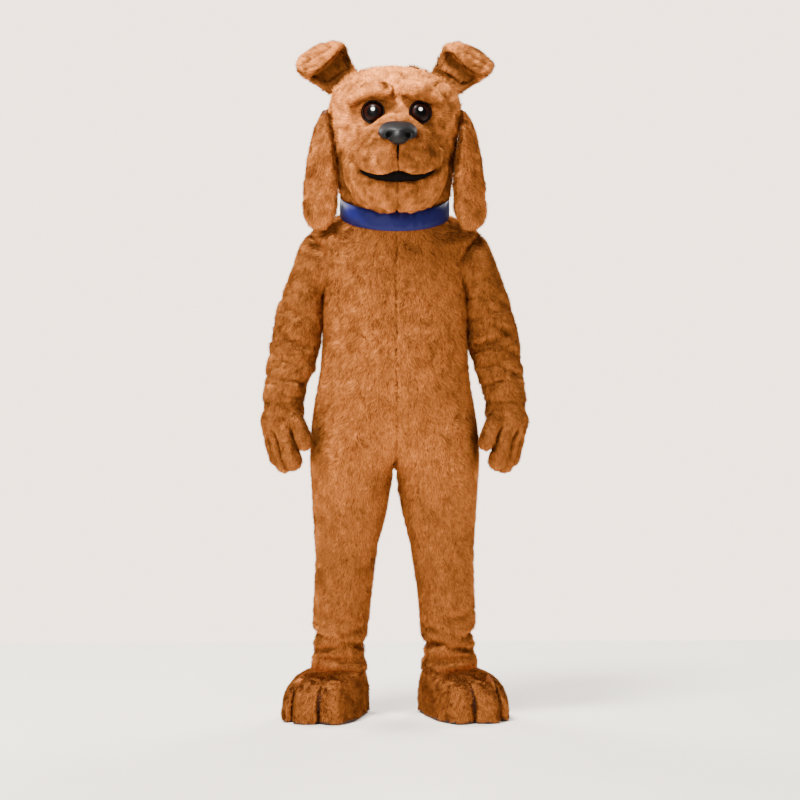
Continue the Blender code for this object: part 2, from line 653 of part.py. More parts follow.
def make_mouth():
    """The black strip between the lip pads, and the black cloth that backs the open slit."""
    strip_front, strip_back = [], []
    half = LIP_GAP - SEAM_GAP
    for step in range(7):
        z = LIP_MIDDLE + 0.002 + (1.668 - LIP_MIDDLE) * step / 6
        depth = muzzle_front(0.0, z) + 0.006
        strip_front.append([Vector((x, depth, z)) for x in (-half, half)])
        strip_back.append([Vector((x, depth + 0.014, z)) for x in (-half, half)])
    wall("lip_line", strip_front, strip_back, "mouth_cloth")

    upper, lower = [], []
    for recess in (0.018, 0.045, 0.075):
        upper_row, lower_row = [], []
        for step in range(-5, 6):
            x = LINING_HALF_WIDTH * step / 5
            y = muzzle_front(x, 1.570) + recess
            y = min(y, face_seat(x, 1.570, SEAT_GAP) - SEAT_GAP)
            upper_row.append(Vector((x, y, lip_height(abs(x)) - LINING_GAP)))
            lower_row.append(Vector((x, y, chin_height(abs(x)) + LINING_GAP)))
        upper.append(upper_row)
        lower.append(lower_row)
    wall("mouth_lining", upper, lower, "mouth_cloth")


# ---------------------------------------------------------------- nose, eyes and brows
def nose_reach(angle):
    """The nose's outline, from its middle: broad and round above, narrow below."""
    s, c = math.sin(angle), math.cos(angle)
    up = 0.036 if c > 0 else 0.037
    wide = 0.0555 * (1.0 - 0.10 * max(-c, 0.0))
    power = 2.8 if c > 0 else 1.85
    return (abs(s / wide) ** power + abs(c / up) ** power) ** (-1 / power)


def dome_rings(centre, reach, base_y, rise, columns, shares, roundness):
    """Rings of a dome on a curved seat: from the pole at the back, out, and over the front."""
    cx, cz = centre
    back, front = [], []
    for share in shares:
        back_ring, front_ring = [], []
        for c in range(columns):
            angle = 2 * math.pi * c / columns
            x = cx + reach(angle) * share * math.sin(angle)
            z = cz + reach(angle) * share * math.cos(angle)
            seat = base_y(x, z)
            lift = rise * max(1 - share ** roundness, 0.0) ** (1 / roundness)
            back_ring.append(Vector((x, seat, z)))
            front_ring.append(Vector((x, seat - 0.003 - lift, z)))
        back.append(back_ring)
        front.append(front_ring)
    seat = base_y(cx, cz)
    pole_back, pole_front = [Vector((cx, seat, cz))], [Vector((cx, seat - 0.003 - rise, cz))]
    return [pole_back] + list(reversed(back)) + front + [pole_front]


def make_nose():
    """A moulded nose with a dent for each nostril, seated on the two lip pads."""
    centre = (0.0, 1.694)
    shares = [1.0, 0.93, 0.8, 0.6, 0.35]

    def seat(x, z):
        return min(muzzle_front(x, z), muzzle_front(abs(x) + 0.006, z)) - NOSE_GAP

    rings = dome_rings(centre, nose_reach, seat, 0.040, 24, shares, 2.3)
    for ring in rings[len(shares) + 1:]:
        for p in ring:
            for nostril in (-0.024, 0.024):
                near = math.hypot((p.x - nostril) / 0.011, (p.z - 1.684) / 0.009)
                p.y += 0.012 * math.exp(-near ** 2)
    lofted("nose", rings, "nose_moulding")


def make_eyes():
    """Each eye is a glass dome inside a black ring; both lie on the face."""
    shares = [1.0, 0.85, 0.5]

    for side, label in ((1, "left"), (-1, "right")):
        centre = (side * EYE_APART, EYE_HEIGHT)
        rings = dome_rings(centre, lambda angle: EYE_RADIUS, face_seat, 0.017, EYE_COLUMNS, shares, 2.0)
        lofted(f"eye_{label}", rings, "eye_glass")
        outer, inner = [], []
        for offset, lift in ((0.0, 0.0), (0.35, 0.007), (1.0, 0.006)):
            top, bottom = [], []
            for c in range(EYE_COLUMNS):
                angle = 2 * math.pi * c / EYE_COLUMNS
                radius = EYE_RADIUS + EYE_RIM - offset * (EYE_RIM - SEAM_GAP)
                x = centre[0] + radius * math.sin(angle)
                z = centre[1] + radius * math.cos(angle)
                bottom.append(Vector((x, face_seat(x, z), z)))
                top.append(Vector((x, face_seat(x, z) - max(lift, 0.002), z)))
            outer.append(top)
            inner.append(bottom)
        wall(f"eye_rim_{label}", outer, inner, "eye_rim", tube=True)


BROW = Table("along x z half rise", [
    (0.0, 0.010, 1.824, 0.009, 0.007),
    (0.2, 0.034, 1.827, 0.016, 0.015),
    (0.45, 0.066, 1.828, 0.019, 0.021),
    (0.7, 0.099, 1.816, 0.015, 0.018),
    (1.0, 0.129, 1.794, 0.006, 0.007),
])


def make_brows():
    """A soft ridge over each eye, highest in its middle and drooping at its outer end."""
    for side, label in ((1, "left"), (-1, "right")):
        front, back = [], []
        for step in range(9):
            along = step / 8
            front_row, back_row = [], []
            for across in (-1.0, -0.75, -0.3, 0.3, 0.75, 1.0):
                x = BROW.at("x", along)
                z = BROW.at("z", along) + across * BROW.at("half", along)
                seat = face_seat(x, z)
                lift = BROW.at("rise", along) * math.sqrt(1 - across ** 2)
                front_row.append(Vector((x, seat - 0.004 - lift, z)))
                back_row.append(Vector((x, seat, z)))
            front.append(front_row)
            back.append(back_row)
        wall(f"brow_{label}", mirrored(front, side), mirrored(back, side), "plush")


# ---------------------------------------------------------------- ears
def side_ear_ring(height, outside):
    """Half a section of a hanging ear: the arc away from the head, or the arc towards it."""
    centre = Vector((SIDE_EAR.at("centre_x", height), SIDE_EAR.at("centre_y", height), height))
    turn = math.radians(SIDE_EAR.at("turn", height))
    forward = Vector((-math.sin(turn), -math.cos(turn), 0.0))
    outward = Vector((math.cos(turn), -math.sin(turn), 0.0)) * (1 if outside else -1)
    broad, thin = SIDE_EAR.at("half_broad", height), SIDE_EAR.at("half_thin", height)
    ring = []
    for c in range(SIDE_EAR_ARC):
        s, k = rounded(math.pi * c / (SIDE_EAR_ARC - 1), 2.2)
        ring.append(centre + forward * broad * k + outward * (HALF_SEAM + thin * max(s, 0.0)))
    return ring


def make_side_ears():
    """Each hanging ear is a pad of two halves, sewn round its edge."""
    for outside, part in ((True, "outer"), (False, "inner")):
        rings = [side_ear_ring(height, outside) for height in SIDE_EAR_HEIGHTS]
        for side, label in ((1, "left"), (-1, "right")):
            lofted(f"ear_side_{part}_{label}", mirrored(rings, side), "plush")


def ear_fold(along):
    """The middle line of a cut across a folded ear: up the standing part, over, and down the flap."""
    base, ridge, edge = (
        Vector([TOP_EAR.at(f"{point}_{axis}", along) for axis in "xyz"])
        for point in ("base", "ridge", "edge")
    )
    if along <= EAR_ROOT_END:
        base.z = dome_height(base.x, base.y)
    line = []
    for s in (0.0, 0.25, 0.5, 0.75, 0.93):
        bow = EAR_BOW * math.sin(math.pi * s) * min(1.0, (ridge - base).length / 0.1)
        line.append(base.lerp(ridge, s) + Vector((0.0, bow, 0.0)))
    for s in (0.12, 0.35, 0.65, 1.0):
        y = ridge.y + (edge.y - ridge.y) * math.sin(math.pi / 2 * s)
        down = 1 - math.cos(math.pi / 2 * s)
        line.append(Vector((ridge.x + (edge.x - ridge.x) * down, y, ridge.z + (edge.z - ridge.z) * down)))
    return line


def grid_normals(grid):
    """A normal at each point of a grid, from its neighbours along and across."""
    rows, columns = len(grid), len(grid[0])
    normals = []
    for r in range(rows):
        row = []
        for c in range(columns):
            along = grid[min(r + 1, rows - 1)][c] - grid[max(r - 1, 0)][c]
            across = grid[r][min(c + 1, columns - 1)] - grid[r][max(c - 1, 0)]
            row.append(along.cross(across).normalized())
        normals.append(row)
    return normals


def make_top_ears():
    """A folded ear is one thick flap; its lining lies in the hollow of the standing part."""
    last = TOP_EAR.keys[-1]
    stations = [last * i / (TOP_EAR_STATIONS - 1) for i in range(TOP_EAR_STATIONS)]
    middle = [ear_fold(along) for along in stations]
    normals = grid_normals(middle)
    taper = (0.8, 1.0, 1.0, 1.0, 1.0, 1.0, 1.0, 0.95, 0.5)
    outer, inner = [], []
    for along, line, directions in zip(stations, middle, normals):
        half = TOP_EAR.at("half", along)
        outer.append([p + n * half * t for p, n, t in zip(line, directions, taper)])
        inner.append([p - n * half * t for p, n, t in zip(line, directions, taper)])
        if along <= EAR_ROOT_END:
            for root in (outer[-1][0], inner[-1][0]):
                root.z = dome_height(root.x, root.y)
    front = outer if outer[4][2].y < inner[4][2].y else inner
    lining_front, lining_back = [], []
    for r in range(2, TOP_EAR_STATIONS - 3):
        edge = min(r - 2, TOP_EAR_STATIONS - 4 - r) == 0
        front_row, back_row = [], []
        for c, swell in ((1, 0.0015), (2, 0.004), (3, 0.0015)):
            seat = front[r][c]
            back_row.append(seat + Vector((0.0, -SEAT_GAP, 0.0)))
            front_row.append(seat + Vector((0.0, -SEAT_GAP - (0.0015 if edge else swell), 0.0)))
        lining_front.append(front_row)
        lining_back.append(back_row)
    for side, label in ((1, "left"), (-1, "right")):
        wall(f"ear_top_{label}", mirrored(outer, side), mirrored(inner, side), "plush")
        front_grid, back_grid = mirrored(lining_front, side), mirrored(lining_back, side)
        wall(f"ear_top_lining_{label}", front_grid, back_grid, "ear_lining")


# ---------------------------------------------------------------- collar
def make_collar():
    outer, inner = [], []
    for share, swell in ((0.0, 0.0), (0.5, 0.0012), (1.0, 0.0)):
        height = COLLAR_LOW + COLLAR_HEIGHT * share
        for grid, radius in ((outer, COLLAR_RADIUS + swell), (inner, COLLAR_RADIUS - COLLAR_THICKNESS)):
            row = []
            for c in range(36):
                angle = 2 * math.pi * c / 36
                y = -radius * math.cos(angle)
                row.append(Vector((radius * math.sin(angle), y, height + NECK_TILT * y)))
            grid.append(row)
    wall("collar", outer, inner, "collar_satin", tube=True)


# ---------------------------------------------------------------- gloves
DIGITS = [                  # root, tip, radius at the root and at the tip
    ((0.292, -0.058, 0.880), (0.2660, -0.080, 0.8120), 0.026, 0.0240),
    ((0.322, -0.054, 0.840), (0.3000, -0.070, 0.7570), 0.028, 0.0285),
    ((0.348, -0.030, 0.838), (0.3240, -0.036, 0.7500), 0.028, 0.0280),
    ((0.364, -0.002, 0.842), (0.3470, -0.002, 0.7640), 0.026, 0.0250),
]
PALM = ((0.334, -0.030, 0.868), (0.062, 0.050, 0.066))
WRIST_TOP = 0.958
GLOVE_DETAIL = 0.0055


def ellipsoid(shape, centre, radii, segments=20, rings=12):
    made = bmesh.ops.create_uvsphere(shape, u_segments=segments, v_segments=rings, radius=1.0)
    for v in made["verts"]:
        v.co = Vector([c + r * k for c, r, k in zip(centre, radii, v.co)])


def glove_mesh(name, side, inset):
    """Palm, wrist and digits as overlapping rounded bodies, to be fused by a remesh."""
    shape = bmesh.new()
    centre, radii = PALM
    ellipsoid(shape, centre, [r - inset for r in radii])
    for root, tip, root_radius, tip_radius in DIGITS:
        root, tip = Vector(root), Vector(tip)
        for step in range(7):
            s = step / 6
            radius = root_radius + (tip_radius - root_radius) * s - inset
            bend = Vector((0.0, -0.004, 0.0)) * math.sin(math.pi * s)
            ellipsoid(shape, root.lerp(tip, s) + bend, (radius, radius, radius), 16, 10)
    low = SLEEVE.at("outer_z", 0.508)
    for height in (0.900, 0.920, low):
        ellipsoid(shape, (0.3275, -0.021, height), (0.0605 - inset, 0.0560 - inset, 0.034))
    for v in shape.verts:
        v.co.x *= side
    bmesh.ops.recalc_face_normals(shape, faces=shape.faces)
    mesh = bpy.data.meshes.new(name)
    shape.to_mesh(mesh)
    shape.free()
    return mesh


def shaft_ring(height, radius_x, radius_y, centre):
    return [
        Vector((centre.x + radius_x * math.sin(a), centre.y - radius_y * math.cos(a), height))
        for a in (2 * math.pi * c / 20 for c in range(20))
    ]


def cuff_body(name, side, inset, low, high):
    """The glove's wrist, a tapered tube that goes up inside the sleeve."""
    along = SLEEVE.keys[-1]
    half_x = (SLEEVE.at("outer_x", along) - SLEEVE.at("inner_x", along)) / 2
    centre = Vector(((SLEEVE.at("outer_x", along) + SLEEVE.at("inner_x", along)) / 2, -0.0195, 0.0))
    room_x = half_x - CLOTH - 0.0045
    room_y = SLEEVE.at("half_depth", along) - CLOTH - 0.0045
    rings = [shaft_ring(z, room_x - inset, room_y - inset, centre) for z in (low, high)]
    rings = mirrored(rings, side)
    body = lofted(name, rings, "plush")
    return body


def hide_cutter(cutter):
    for collection in list(cutter.users_collection):
        collection.objects.unlink(cutter)
    CUTTERS.objects.link(cutter)
    cutter.hide_render = True
    cutter.display_type = "WIRE"


def add_boolean(piece, cutter, operation):
    cut = piece.modifiers.new(f"{operation.lower()}_{cutter.name}", "BOOLEAN")
    cut.operation = operation
    cut.object = cutter
    return cut


def fused(piece, detail, ratio):
    """Fuses overlapping bodies into one skin, smooths it and thins its faces."""
    skin = piece.modifiers.new("fuse", "REMESH")
    skin.mode = "VOXEL"
    skin.voxel_size = detail
    soft = piece.modifiers.new("soften", "SMOOTH")
    soft.factor = 0.5
    soft.iterations = 3
    thin = piece.modifiers.new("thin", "DECIMATE")
    thin.ratio = ratio


def make_gloves():
    for side, label in ((1, "left"), (-1, "right")):
        glove = place(glove_mesh(f"glove_{label}", side, 0.0), f"glove_{label}", "plush")
        fused(glove, GLOVE_DETAIL, 0.045)
        sleeve_end = SLEEVE.at("outer_z", 0.508) - SEAM_GAP
        cuff = cuff_body(f"cuff_{label}", side, 0.0, 0.905, WRIST_TOP)
        hollow = place(glove_mesh(f"glove_hollow_{label}", side, CLOTH), f"glove_hollow_{label}", "plush")
        fused(hollow, GLOVE_DETAIL, 0.038)
        bore = cuff_body(f"cuff_bore_{label}", side, 0.0055, 0.890, WRIST_TOP + 0.02)
        top = lofted(f"cuff_trim_{label}", mirrored([
            shaft_ring(z, 0.12, 0.12, Vector((0.33, -0.02, 0.0))) for z in (sleeve_end, WRIST_TOP + 0.03)
        ], side), "plush")
        add_boolean(glove, top, "DIFFERENCE")
        add_boolean(glove, cuff, "UNION")
        add_boolean(glove, hollow, "DIFFERENCE")
        add_boolean(glove, bore, "DIFFERENCE")
        for cutter in (cuff, hollow, bore, top):
            hide_cutter(cutter)


# ---------------------------------------------------------------- feet
def foot_outline(inset, groove):
    """The footprint in its own frame, as (lateral, forward) points, toes first."""
    points = []
    for start, end, reach in TOES:
        middle, half = (start + end) / 2, (end - start) / 2
        for s in (-1.0, -0.8, -0.4, 0.0, 0.4, 0.8):
            lateral = middle + half * s
            dip = 0.0 if abs(s) < 0.9 else groove
            crown = 0.020 * abs(s) ** 2.4
            edge = TOE_ROUNDING * max((abs(lateral) - 0.074) / 0.034, 0.0) ** 2
            points.append((lateral, reach - crown - dip - edge))
    points.append((TOES[-1][1], TOES[-1][2] - 0.075))
    sides = []
    for forward in (0.085, 0.030, -0.020, -0.065):
        half = HEEL_HALF_WIDTH + (FOOT_HALF_WIDTH - HEEL_HALF_WIDTH) * min(max((forward + 0.08) / 0.17, 0), 1)
        sides.append((half, forward))
    points += sides
    for degrees in (120, 150, 180, 210, 240):
        s, c = rounded(math.radians(degrees), 2.4)
        points.append((HEEL_HALF_WIDTH * s, -0.065 + (HEEL_REACH - 0.065) * c))
    points += [(-half, forward) for half, forward in reversed(sides)]
    shrunk = []
    for lateral, forward in points:
        scale_side = 1 - inset / FOOT_HALF_WIDTH
        reach = TOES[1][2] if forward > 0 else HEEL_REACH
        shrunk.append((lateral * scale_side, forward * (1 - inset / reach)))
    return shrunk


def foot_world(lateral, forward, height):
    across = Vector((math.cos(TOE_OUT), math.sin(TOE_OUT), 0.0))
    ahead = Vector((math.sin(TOE_OUT), -math.cos(TOE_OUT), 0.0))
    point = FOOT_ORIGIN + across * lateral + ahead * forward
    return Vector((point.x, point.y, height))


def shaft_point(target, height, inset):
    """The point of the shaft that lies in the same direction from the leg's middle as a target."""
    leg = 0.150
    inner, outer = SUIT.at("inner", leg), SUIT.at("outer", leg)
    centre = Vector(((inner + outer) / 2, SUIT.at("middle", leg), height))
    half_x = (outer - inner) / 2 - CLOTH - 0.0065 - inset
    half_y = SUIT.at("front", leg) - CLOTH - 0.0065 - inset
    direction = Vector((target.x - centre.x, target.y - centre.y, 0.0))
    scale = math.hypot(direction.x / half_x, direction.y / half_y)
    return centre + direction / scale


def foot_grid(inset, groove):
    """Rings from the sole up over the toes and the instep, then up the shaft inside the leg."""
    base = SOLE_THICKNESS + SEAM_GAP
    ground = [foot_world(lateral, forward, base) for lateral, forward in foot_outline(inset, groove)]
    smooth = [foot_world(lateral, forward, base) for lateral, forward in foot_outline(inset, 0.0)]
    rows = [ground]
    rise = FOOT_RISE - base - inset
    for step in range(1, FOOT_STEPS):
        angle = math.pi / 2 * step / FOOT_STEPS
        up, out = rounded(angle, FOOT_FRONT_SQUARE)
        row = []
        for low, high in zip(ground, smooth):
            p = low.lerp(high, min(up / TOE_GROOVE_TOP, 1.0) ** 2)
            point = shaft_point(p, base, inset).lerp(p, out)
            point.z = base + rise * up
            row.append(point)
        rows.append(row)
    rows.append([shaft_point(p, base + rise, inset) for p in ground])
    rows.append([shaft_point(p, SHAFT_TOP, inset) for p in ground])
    return rows


def make_feet():
    outer, inner = foot_grid(0.0, TOE_GROOVE), foot_grid(CLOTH, 0.0)
    outline = foot_outline(0.004, 0.004)
    for side, label in ((1, "left"), (-1, "right")):
        wall(f"foot_{label}", mirrored(outer, side), mirrored(inner, side), "plush", tube=True)
        rings = [[foot_world(a, b, z) for a, b in outline] for z in (0.0, SOLE_THICKNESS)]
        lofted(f"sole_{label}", mirrored(rings, side), "sole_rubber")


def build():
    start_costume()
    make_suit()
    make_sleeves()
    make_head()
    make_muzzle()
    make_mouth()
    make_nose()
    make_eyes()
    make_brows()
    make_side_ears()
    make_top_ears()
    make_collar()
    make_gloves()
    make_feet()


build()
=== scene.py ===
# %% [markdown]
# # A dog mascot costume in plush
#
# The costume stands as it does when it is worn: a one-piece suit with sleeves and legs, a hollow head with
# a padded muzzle and four ears, two gloves, two feet and a satin collar. Nobody is in it, so every piece of
# cloth is a thin hollow shell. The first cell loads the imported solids. Each later piece is laid on one of them.

# %% The frame
import math

import bmesh
import bpy
import numpy as np
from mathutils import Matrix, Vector, kdtree


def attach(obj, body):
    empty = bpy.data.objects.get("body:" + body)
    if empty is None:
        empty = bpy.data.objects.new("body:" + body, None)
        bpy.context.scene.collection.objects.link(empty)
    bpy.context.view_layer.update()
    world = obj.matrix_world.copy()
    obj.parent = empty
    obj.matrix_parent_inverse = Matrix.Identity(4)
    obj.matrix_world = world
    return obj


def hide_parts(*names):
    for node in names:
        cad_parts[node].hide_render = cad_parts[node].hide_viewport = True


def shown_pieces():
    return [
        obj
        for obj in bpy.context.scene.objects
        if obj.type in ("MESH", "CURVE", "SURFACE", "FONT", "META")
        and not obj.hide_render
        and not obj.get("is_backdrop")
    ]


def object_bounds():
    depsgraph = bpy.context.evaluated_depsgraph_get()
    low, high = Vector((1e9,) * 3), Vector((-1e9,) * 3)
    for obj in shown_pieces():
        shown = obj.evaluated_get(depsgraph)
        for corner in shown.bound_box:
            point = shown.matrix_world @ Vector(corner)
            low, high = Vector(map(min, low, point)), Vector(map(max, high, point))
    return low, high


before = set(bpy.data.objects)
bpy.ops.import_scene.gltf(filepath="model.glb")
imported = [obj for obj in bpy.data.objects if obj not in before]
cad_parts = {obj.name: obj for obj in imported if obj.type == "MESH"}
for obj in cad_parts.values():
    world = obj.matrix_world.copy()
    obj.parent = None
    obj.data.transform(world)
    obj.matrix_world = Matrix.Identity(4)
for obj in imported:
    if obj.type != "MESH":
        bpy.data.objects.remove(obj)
box_at_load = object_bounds()
FLOOR = box_at_load[0].z
print("solids:", len(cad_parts), "standing on", round(FLOOR, 3))

# %% [markdown]
# ## Camera and light
#
# A person's height of cloth is seen best from far off with a long lens, because a near lens makes the head
# swell. The camera is level with the hips and a little to the wearer's right.

# %% Camera
CAMERA_LEVEL = -0.495
CAMERA_AWAY = 6.8
CAMERA_TURN = math.radians(2.0)
HALF_VIEW = math.radians(9.88)
FRAME_PIXELS = 800
BODY_AXIS_PIXEL = 394.5

camera_data = bpy.data.cameras.new("camera")
camera_data.sensor_width = 36.0
camera_data.lens = camera_data.sensor_width / 2 / math.tan(HALF_VIEW)
camera_data.shift_x = (FRAME_PIXELS / 2 - BODY_AXIS_PIXEL) / FRAME_PIXELS
camera = bpy.data.objects.new("camera", camera_data)
camera.location = (-CAMERA_AWAY * math.sin(CAMERA_TURN), -CAMERA_AWAY * math.cos(CAMERA_TURN), CAMERA_LEVEL)
camera.rotation_euler = (math.pi / 2, 0.0, -CAMERA_TURN)
bpy.context.scene.collection.objects.link(camera)
bpy.context.scene.camera = camera
print("lens", round(camera_data.lens, 1), "mm")

# %% [markdown]
# Plush is soft to light as well as to touch, so wide lamps in front and a pale surrounding do most of the work, and
# two lamps behind lift the fringe of the pile.


# %% Lamps and pale surroundings
def lamp(name, place, aim, wide, watts, colour):
    """A square area lamp that looks at a point."""
    data = bpy.data.lights.new(name, "AREA")
    data.shape = "SQUARE"
    data.size = wide
    data.energy = watts
    data.color = colour
    thing = bpy.data.objects.new(name, data)
    thing.location = place
    thing.rotation_mode = "QUATERNION"
    thing.rotation_quaternion = (Vector(aim) - Vector(place)).to_track_quat("-Z", "Y")
    bpy.context.scene.collection.objects.link(thing)


lamp("top_lamp", (-1.5, -1.9, 4.2), (0, -0.1, 0.1), 1.4, 860, (1.0, 0.97, 0.93))
lamp("front_lamp", (-3.0, -5.2, 1.8), (0, 0, -0.1), 2.4, 190, (1.0, 0.96, 0.91))
lamp("low_lamp", (-0.4, -6.4, -0.7), (0, 0, -0.8), 2.8, 50, (1.0, 0.96, 0.92))
lamp("back_lamp_left", (2.2, 3.6, 2.8), (0, 0, 0.0), 2.0, 400, (1.0, 0.98, 0.96))
lamp("back_lamp_right", (-2.4, 3.4, 2.6), (0, 0, 0.0), 2.0, 400, (1.0, 0.98, 0.96))

room = bpy.data.worlds.new("pale room")
bpy.context.scene.world = room
room.use_nodes = True
nodes, links = room.node_tree.nodes, room.node_tree.links
nodes.clear()
room_out = nodes.new("ShaderNodeOutputWorld")
room_mix = nodes.new("ShaderNodeMixShader")
room_ray = nodes.new("ShaderNodeLightPath")
room_light = nodes.new("ShaderNodeBackground")
room_seen = nodes.new("ShaderNodeBackground")
room_light.inputs["Color"].default_value = (1.0, 0.965, 0.92, 1.0)
room_light.inputs["Strength"].default_value = 0.30
room_seen.inputs["Color"].default_value = (1.0, 0.82, 0.68, 1.0)
room_seen.inputs["Strength"].default_value = 4.0
links.new(room_ray.outputs["Is Camera Ray"], room_mix.inputs["Fac"])
links.new(room_light.outputs["Background"], room_mix.inputs[1])
links.new(room_seen.outputs["Background"], room_mix.inputs[2])
links.new(room_mix.outputs["Shader"], room_out.inputs["Surface"])
print("lamps and room set")

# %% [markdown]
# ## From a coarse solid to smooth cloth
#
# The solids are made of flat triangles, and cloth has none. A few small helpers do the sums that all of the cloth
# needs: arrows and normals, and two smooth curves to blend one place into the next.


# %% Arrows, normals and smooth steps
def unit(a):
    """Arrows of length one, the same way as these."""
    return a / np.maximum(np.linalg.norm(a, axis=-1, keepdims=True), 1e-12)


def arrows(place, x, y, z):
    """An arrow at each place, from three values that are numbers or one for each place."""
    out = np.zeros_like(place)
    out[:, 0], out[:, 1], out[:, 2] = x, y, z
    return out


def dot(a, b):
    """How far each arrow of a reaches along its arrow of b."""
    return (a * b).sum(axis=-1, keepdims=True)


def point_normals(points, tris):
    """The mean normal of the triangles at each point, by their areas."""
    face = np.cross(points[tris[:, 1]] - points[tris[:, 0]], points[tris[:, 2]] - points[tris[:, 0]])
    out = np.zeros_like(points)
    for k in range(3):
        np.add.at(out, tris[:, k], face)
    return unit(out)


def between(values, start, end):
    """0 before start, 1 after end and a smooth rise from one to the other."""
    share = np.clip((values - start) / (end - start), 0, 1)
    return share * share * (3 - 2 * share)


def hump(off, wide):
    """1 where off is 0, falling smoothly on both sides to nearly 0 at twice the width."""
    return np.exp(-(off / wide) ** 2)


print("a third of the way up a smooth rise:", round(float(between(1 / 3, 0, 1)), 3))

# %% [markdown]
# Each solid has an outer and an inner wall. Only the outer wall shows, so this helper welds the solid and keeps the
# largest run of faces that meet at gentle angles: that is the outside of the cloth.

# %% Outer wall of a solid
WELD = 2e-5
GENTLE = math.radians(50)


def outer_wall(node, whole=False, gentle=GENTLE):
    """Points, normals and triangles of a solid's outside, or of the whole solid."""
    mesh = bmesh.new()
    mesh.from_mesh(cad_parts[node].data)
    bmesh.ops.remove_doubles(mesh, verts=mesh.verts, dist=WELD)
    mesh.faces.ensure_lookup_table()
    best, best_area = list(mesh.faces), 0.0
    seen = set()
    for start in [] if whole else mesh.faces:
        if start in seen:
            continue
        run, waiting = [], [start]
        seen.add(start)
        while waiting:
            face = waiting.pop()
            run.append(face)
            for edge in face.edges:
                for other in edge.link_faces:
                    if other not in seen and edge.calc_face_angle(9.0) < gentle:
                        seen.add(other)
                        waiting.append(other)
        area = sum(face.calc_area() for face in run)
        if area > best_area:
            best, best_area = run, area
    wall = set(best)
    for face in mesh.faces:
        joined = sum(other in wall for edge in face.edges for other in edge.link_faces if other is not face)
        if face not in wall and joined == 3:
            best.append(face)
    tris = np.array([[corner.index for corner in face.verts] for face in best])
    points = np.array([corner.co for corner in mesh.verts])
    mesh.free()
    used, tris = np.unique(tris, return_inverse=True)
    points, tris = points[used], tris.reshape(-1, 3)
    return points, point_normals(points, tris), tris


for whole in (False, True):
    print("the collar," if whole else "the collar's outer wall,", len(outer_wall("collar", whole)[2]), "triangles")

# %% [markdown]
# A subdivision surface would shrink the cloth, so this helper splits long edges instead, and puts each new point on
# an arc that leaves both ends square to their normals. The cloth keeps its size and loses its facets.


# %% Finer cloth on smooth arcs
def finer(skin, limit):
    """Splits the edges that are longer than limit, a length or a function of places."""
    points, normals, tris = skin
    while True:
        ends = np.sort(tris[:, [[0, 1], [1, 2], [2, 0]]].reshape(-1, 2), axis=1)
        edge, which = np.unique(ends, axis=0, return_inverse=True)
        a, b = points[edge[:, 0]], points[edge[:, 1]]
        most = limit((a + b) / 2) if callable(limit) else limit
        long = np.linalg.norm(b - a, axis=1) > most
        if not long.any():
            return points, unit(normals), tris
        a, b = a[long], b[long]
        normal_a, normal_b = normals[edge[long, 0]], normals[edge[long, 1]]
        bulge = (dot(b - a, normal_b) * normal_b - dot(b - a, normal_a) * normal_a) / 8
        number = np.full(len(edge), -1)
        number[long] = len(points) + np.arange(long.sum())
        middle = number[which.reshape(-1, 3)]
        points = np.concatenate((points, (a + b) / 2 + bulge))
        normals = np.concatenate((normals, unit(normal_a + normal_b)))
        tris = split(tris, middle)


def split(tris, middle):
    """Each triangle becomes one to four, by which of its edges have a middle point."""
    count = (middle >= 0).sum(axis=1)
    parts = [tris[count == 0]]
    for k in range(3):
        after, last = (k + 1) % 3, (k + 2) % 3
        one = (count == 1) & (middle[:, k] >= 0)
        a, b, c, m = tris[one, k], tris[one, after], tris[one, last], middle[one, k]
        parts += [np.stack((a, m, c), 1), np.stack((m, b, c), 1)]
        two = (count == 2) & (middle[:, last] < 0)
        a, b, c = tris[two, k], tris[two, after], tris[two, last]
        m, q = middle[two, k], middle[two, after]
        parts += [np.stack((m, b, q), 1), np.stack((a, m, q), 1), np.stack((a, q, c), 1)]
    a, b, c = tris[count == 3].T
    m, q, r = middle[count == 3].T
    parts += [np.stack((a, m, r), 1), np.stack((m, b, q), 1), np.stack((r, q, c), 1), np.stack((m, q, r), 1)]
    return np.concatenate(parts)


print("the collar with edges under 9 mm:", len(finer(outer_wall("collar"), 0.009)[2]), "triangles")

# %% [markdown]
# Fur cloth is too thick to fold sharply. Its ridges are eased out by moving each point towards the middle of its
# neighbours, with the sewn rim held. The same middle tells where the cloth is hollow, which is where light is weak.


# %% Softer cloth, and where it is hollow
def neighbour_mean(skin):
    """The middle of each point's neighbours, and the mean square distance to them."""
    points, _, tris = skin
    ends = tris[:, [[0, 1], [1, 2], [2, 0]]].reshape(-1, 2)
    total, count, far = np.zeros_like(points), np.zeros(len(points)), np.zeros(len(points))
    for a, b in ((ends[:, 0], ends[:, 1]), (ends[:, 1], ends[:, 0])):
        np.add.at(total, a, points[b])
        np.add.at(count, a, 1)
        np.add.at(far, a, ((points[b] - points[a]) ** 2).sum(axis=1))
    return total / count[:, None], far / count


def relaxed(skin, times, swell=0.0):
    """The skin with its ridges eased out, its rim held, and then swollen along its normals."""
    points, normals, tris = skin
    held = np.zeros(len(points), bool)
    held[rim_edges(tris).ravel()] = True
    for _ in range(times):
        middle, _ = neighbour_mean((points, normals, tris))
        points = np.where(held[:, None], points, points * 0.5 + middle * 0.5)
    normals = point_normals(points, tris)
    points = points + normals * np.where(held, 0.0, swell)[:, None]
    return points, normals, tris


def hollowness(skin):
    """How sharply the cloth curves in at each point, in 1/m; a ridge is below zero."""
    middle, far = neighbour_mean(skin)
    hollow = 4 * dot(middle - skin[0], skin[1])[:, 0] / far
    hollow[rim_edges(skin[2]).ravel()] = 0.0
    eased, _ = neighbour_mean((np.stack((hollow, hollow, hollow), 1), skin[1], skin[2]))
    return (hollow + eased[:, 0]) / 2


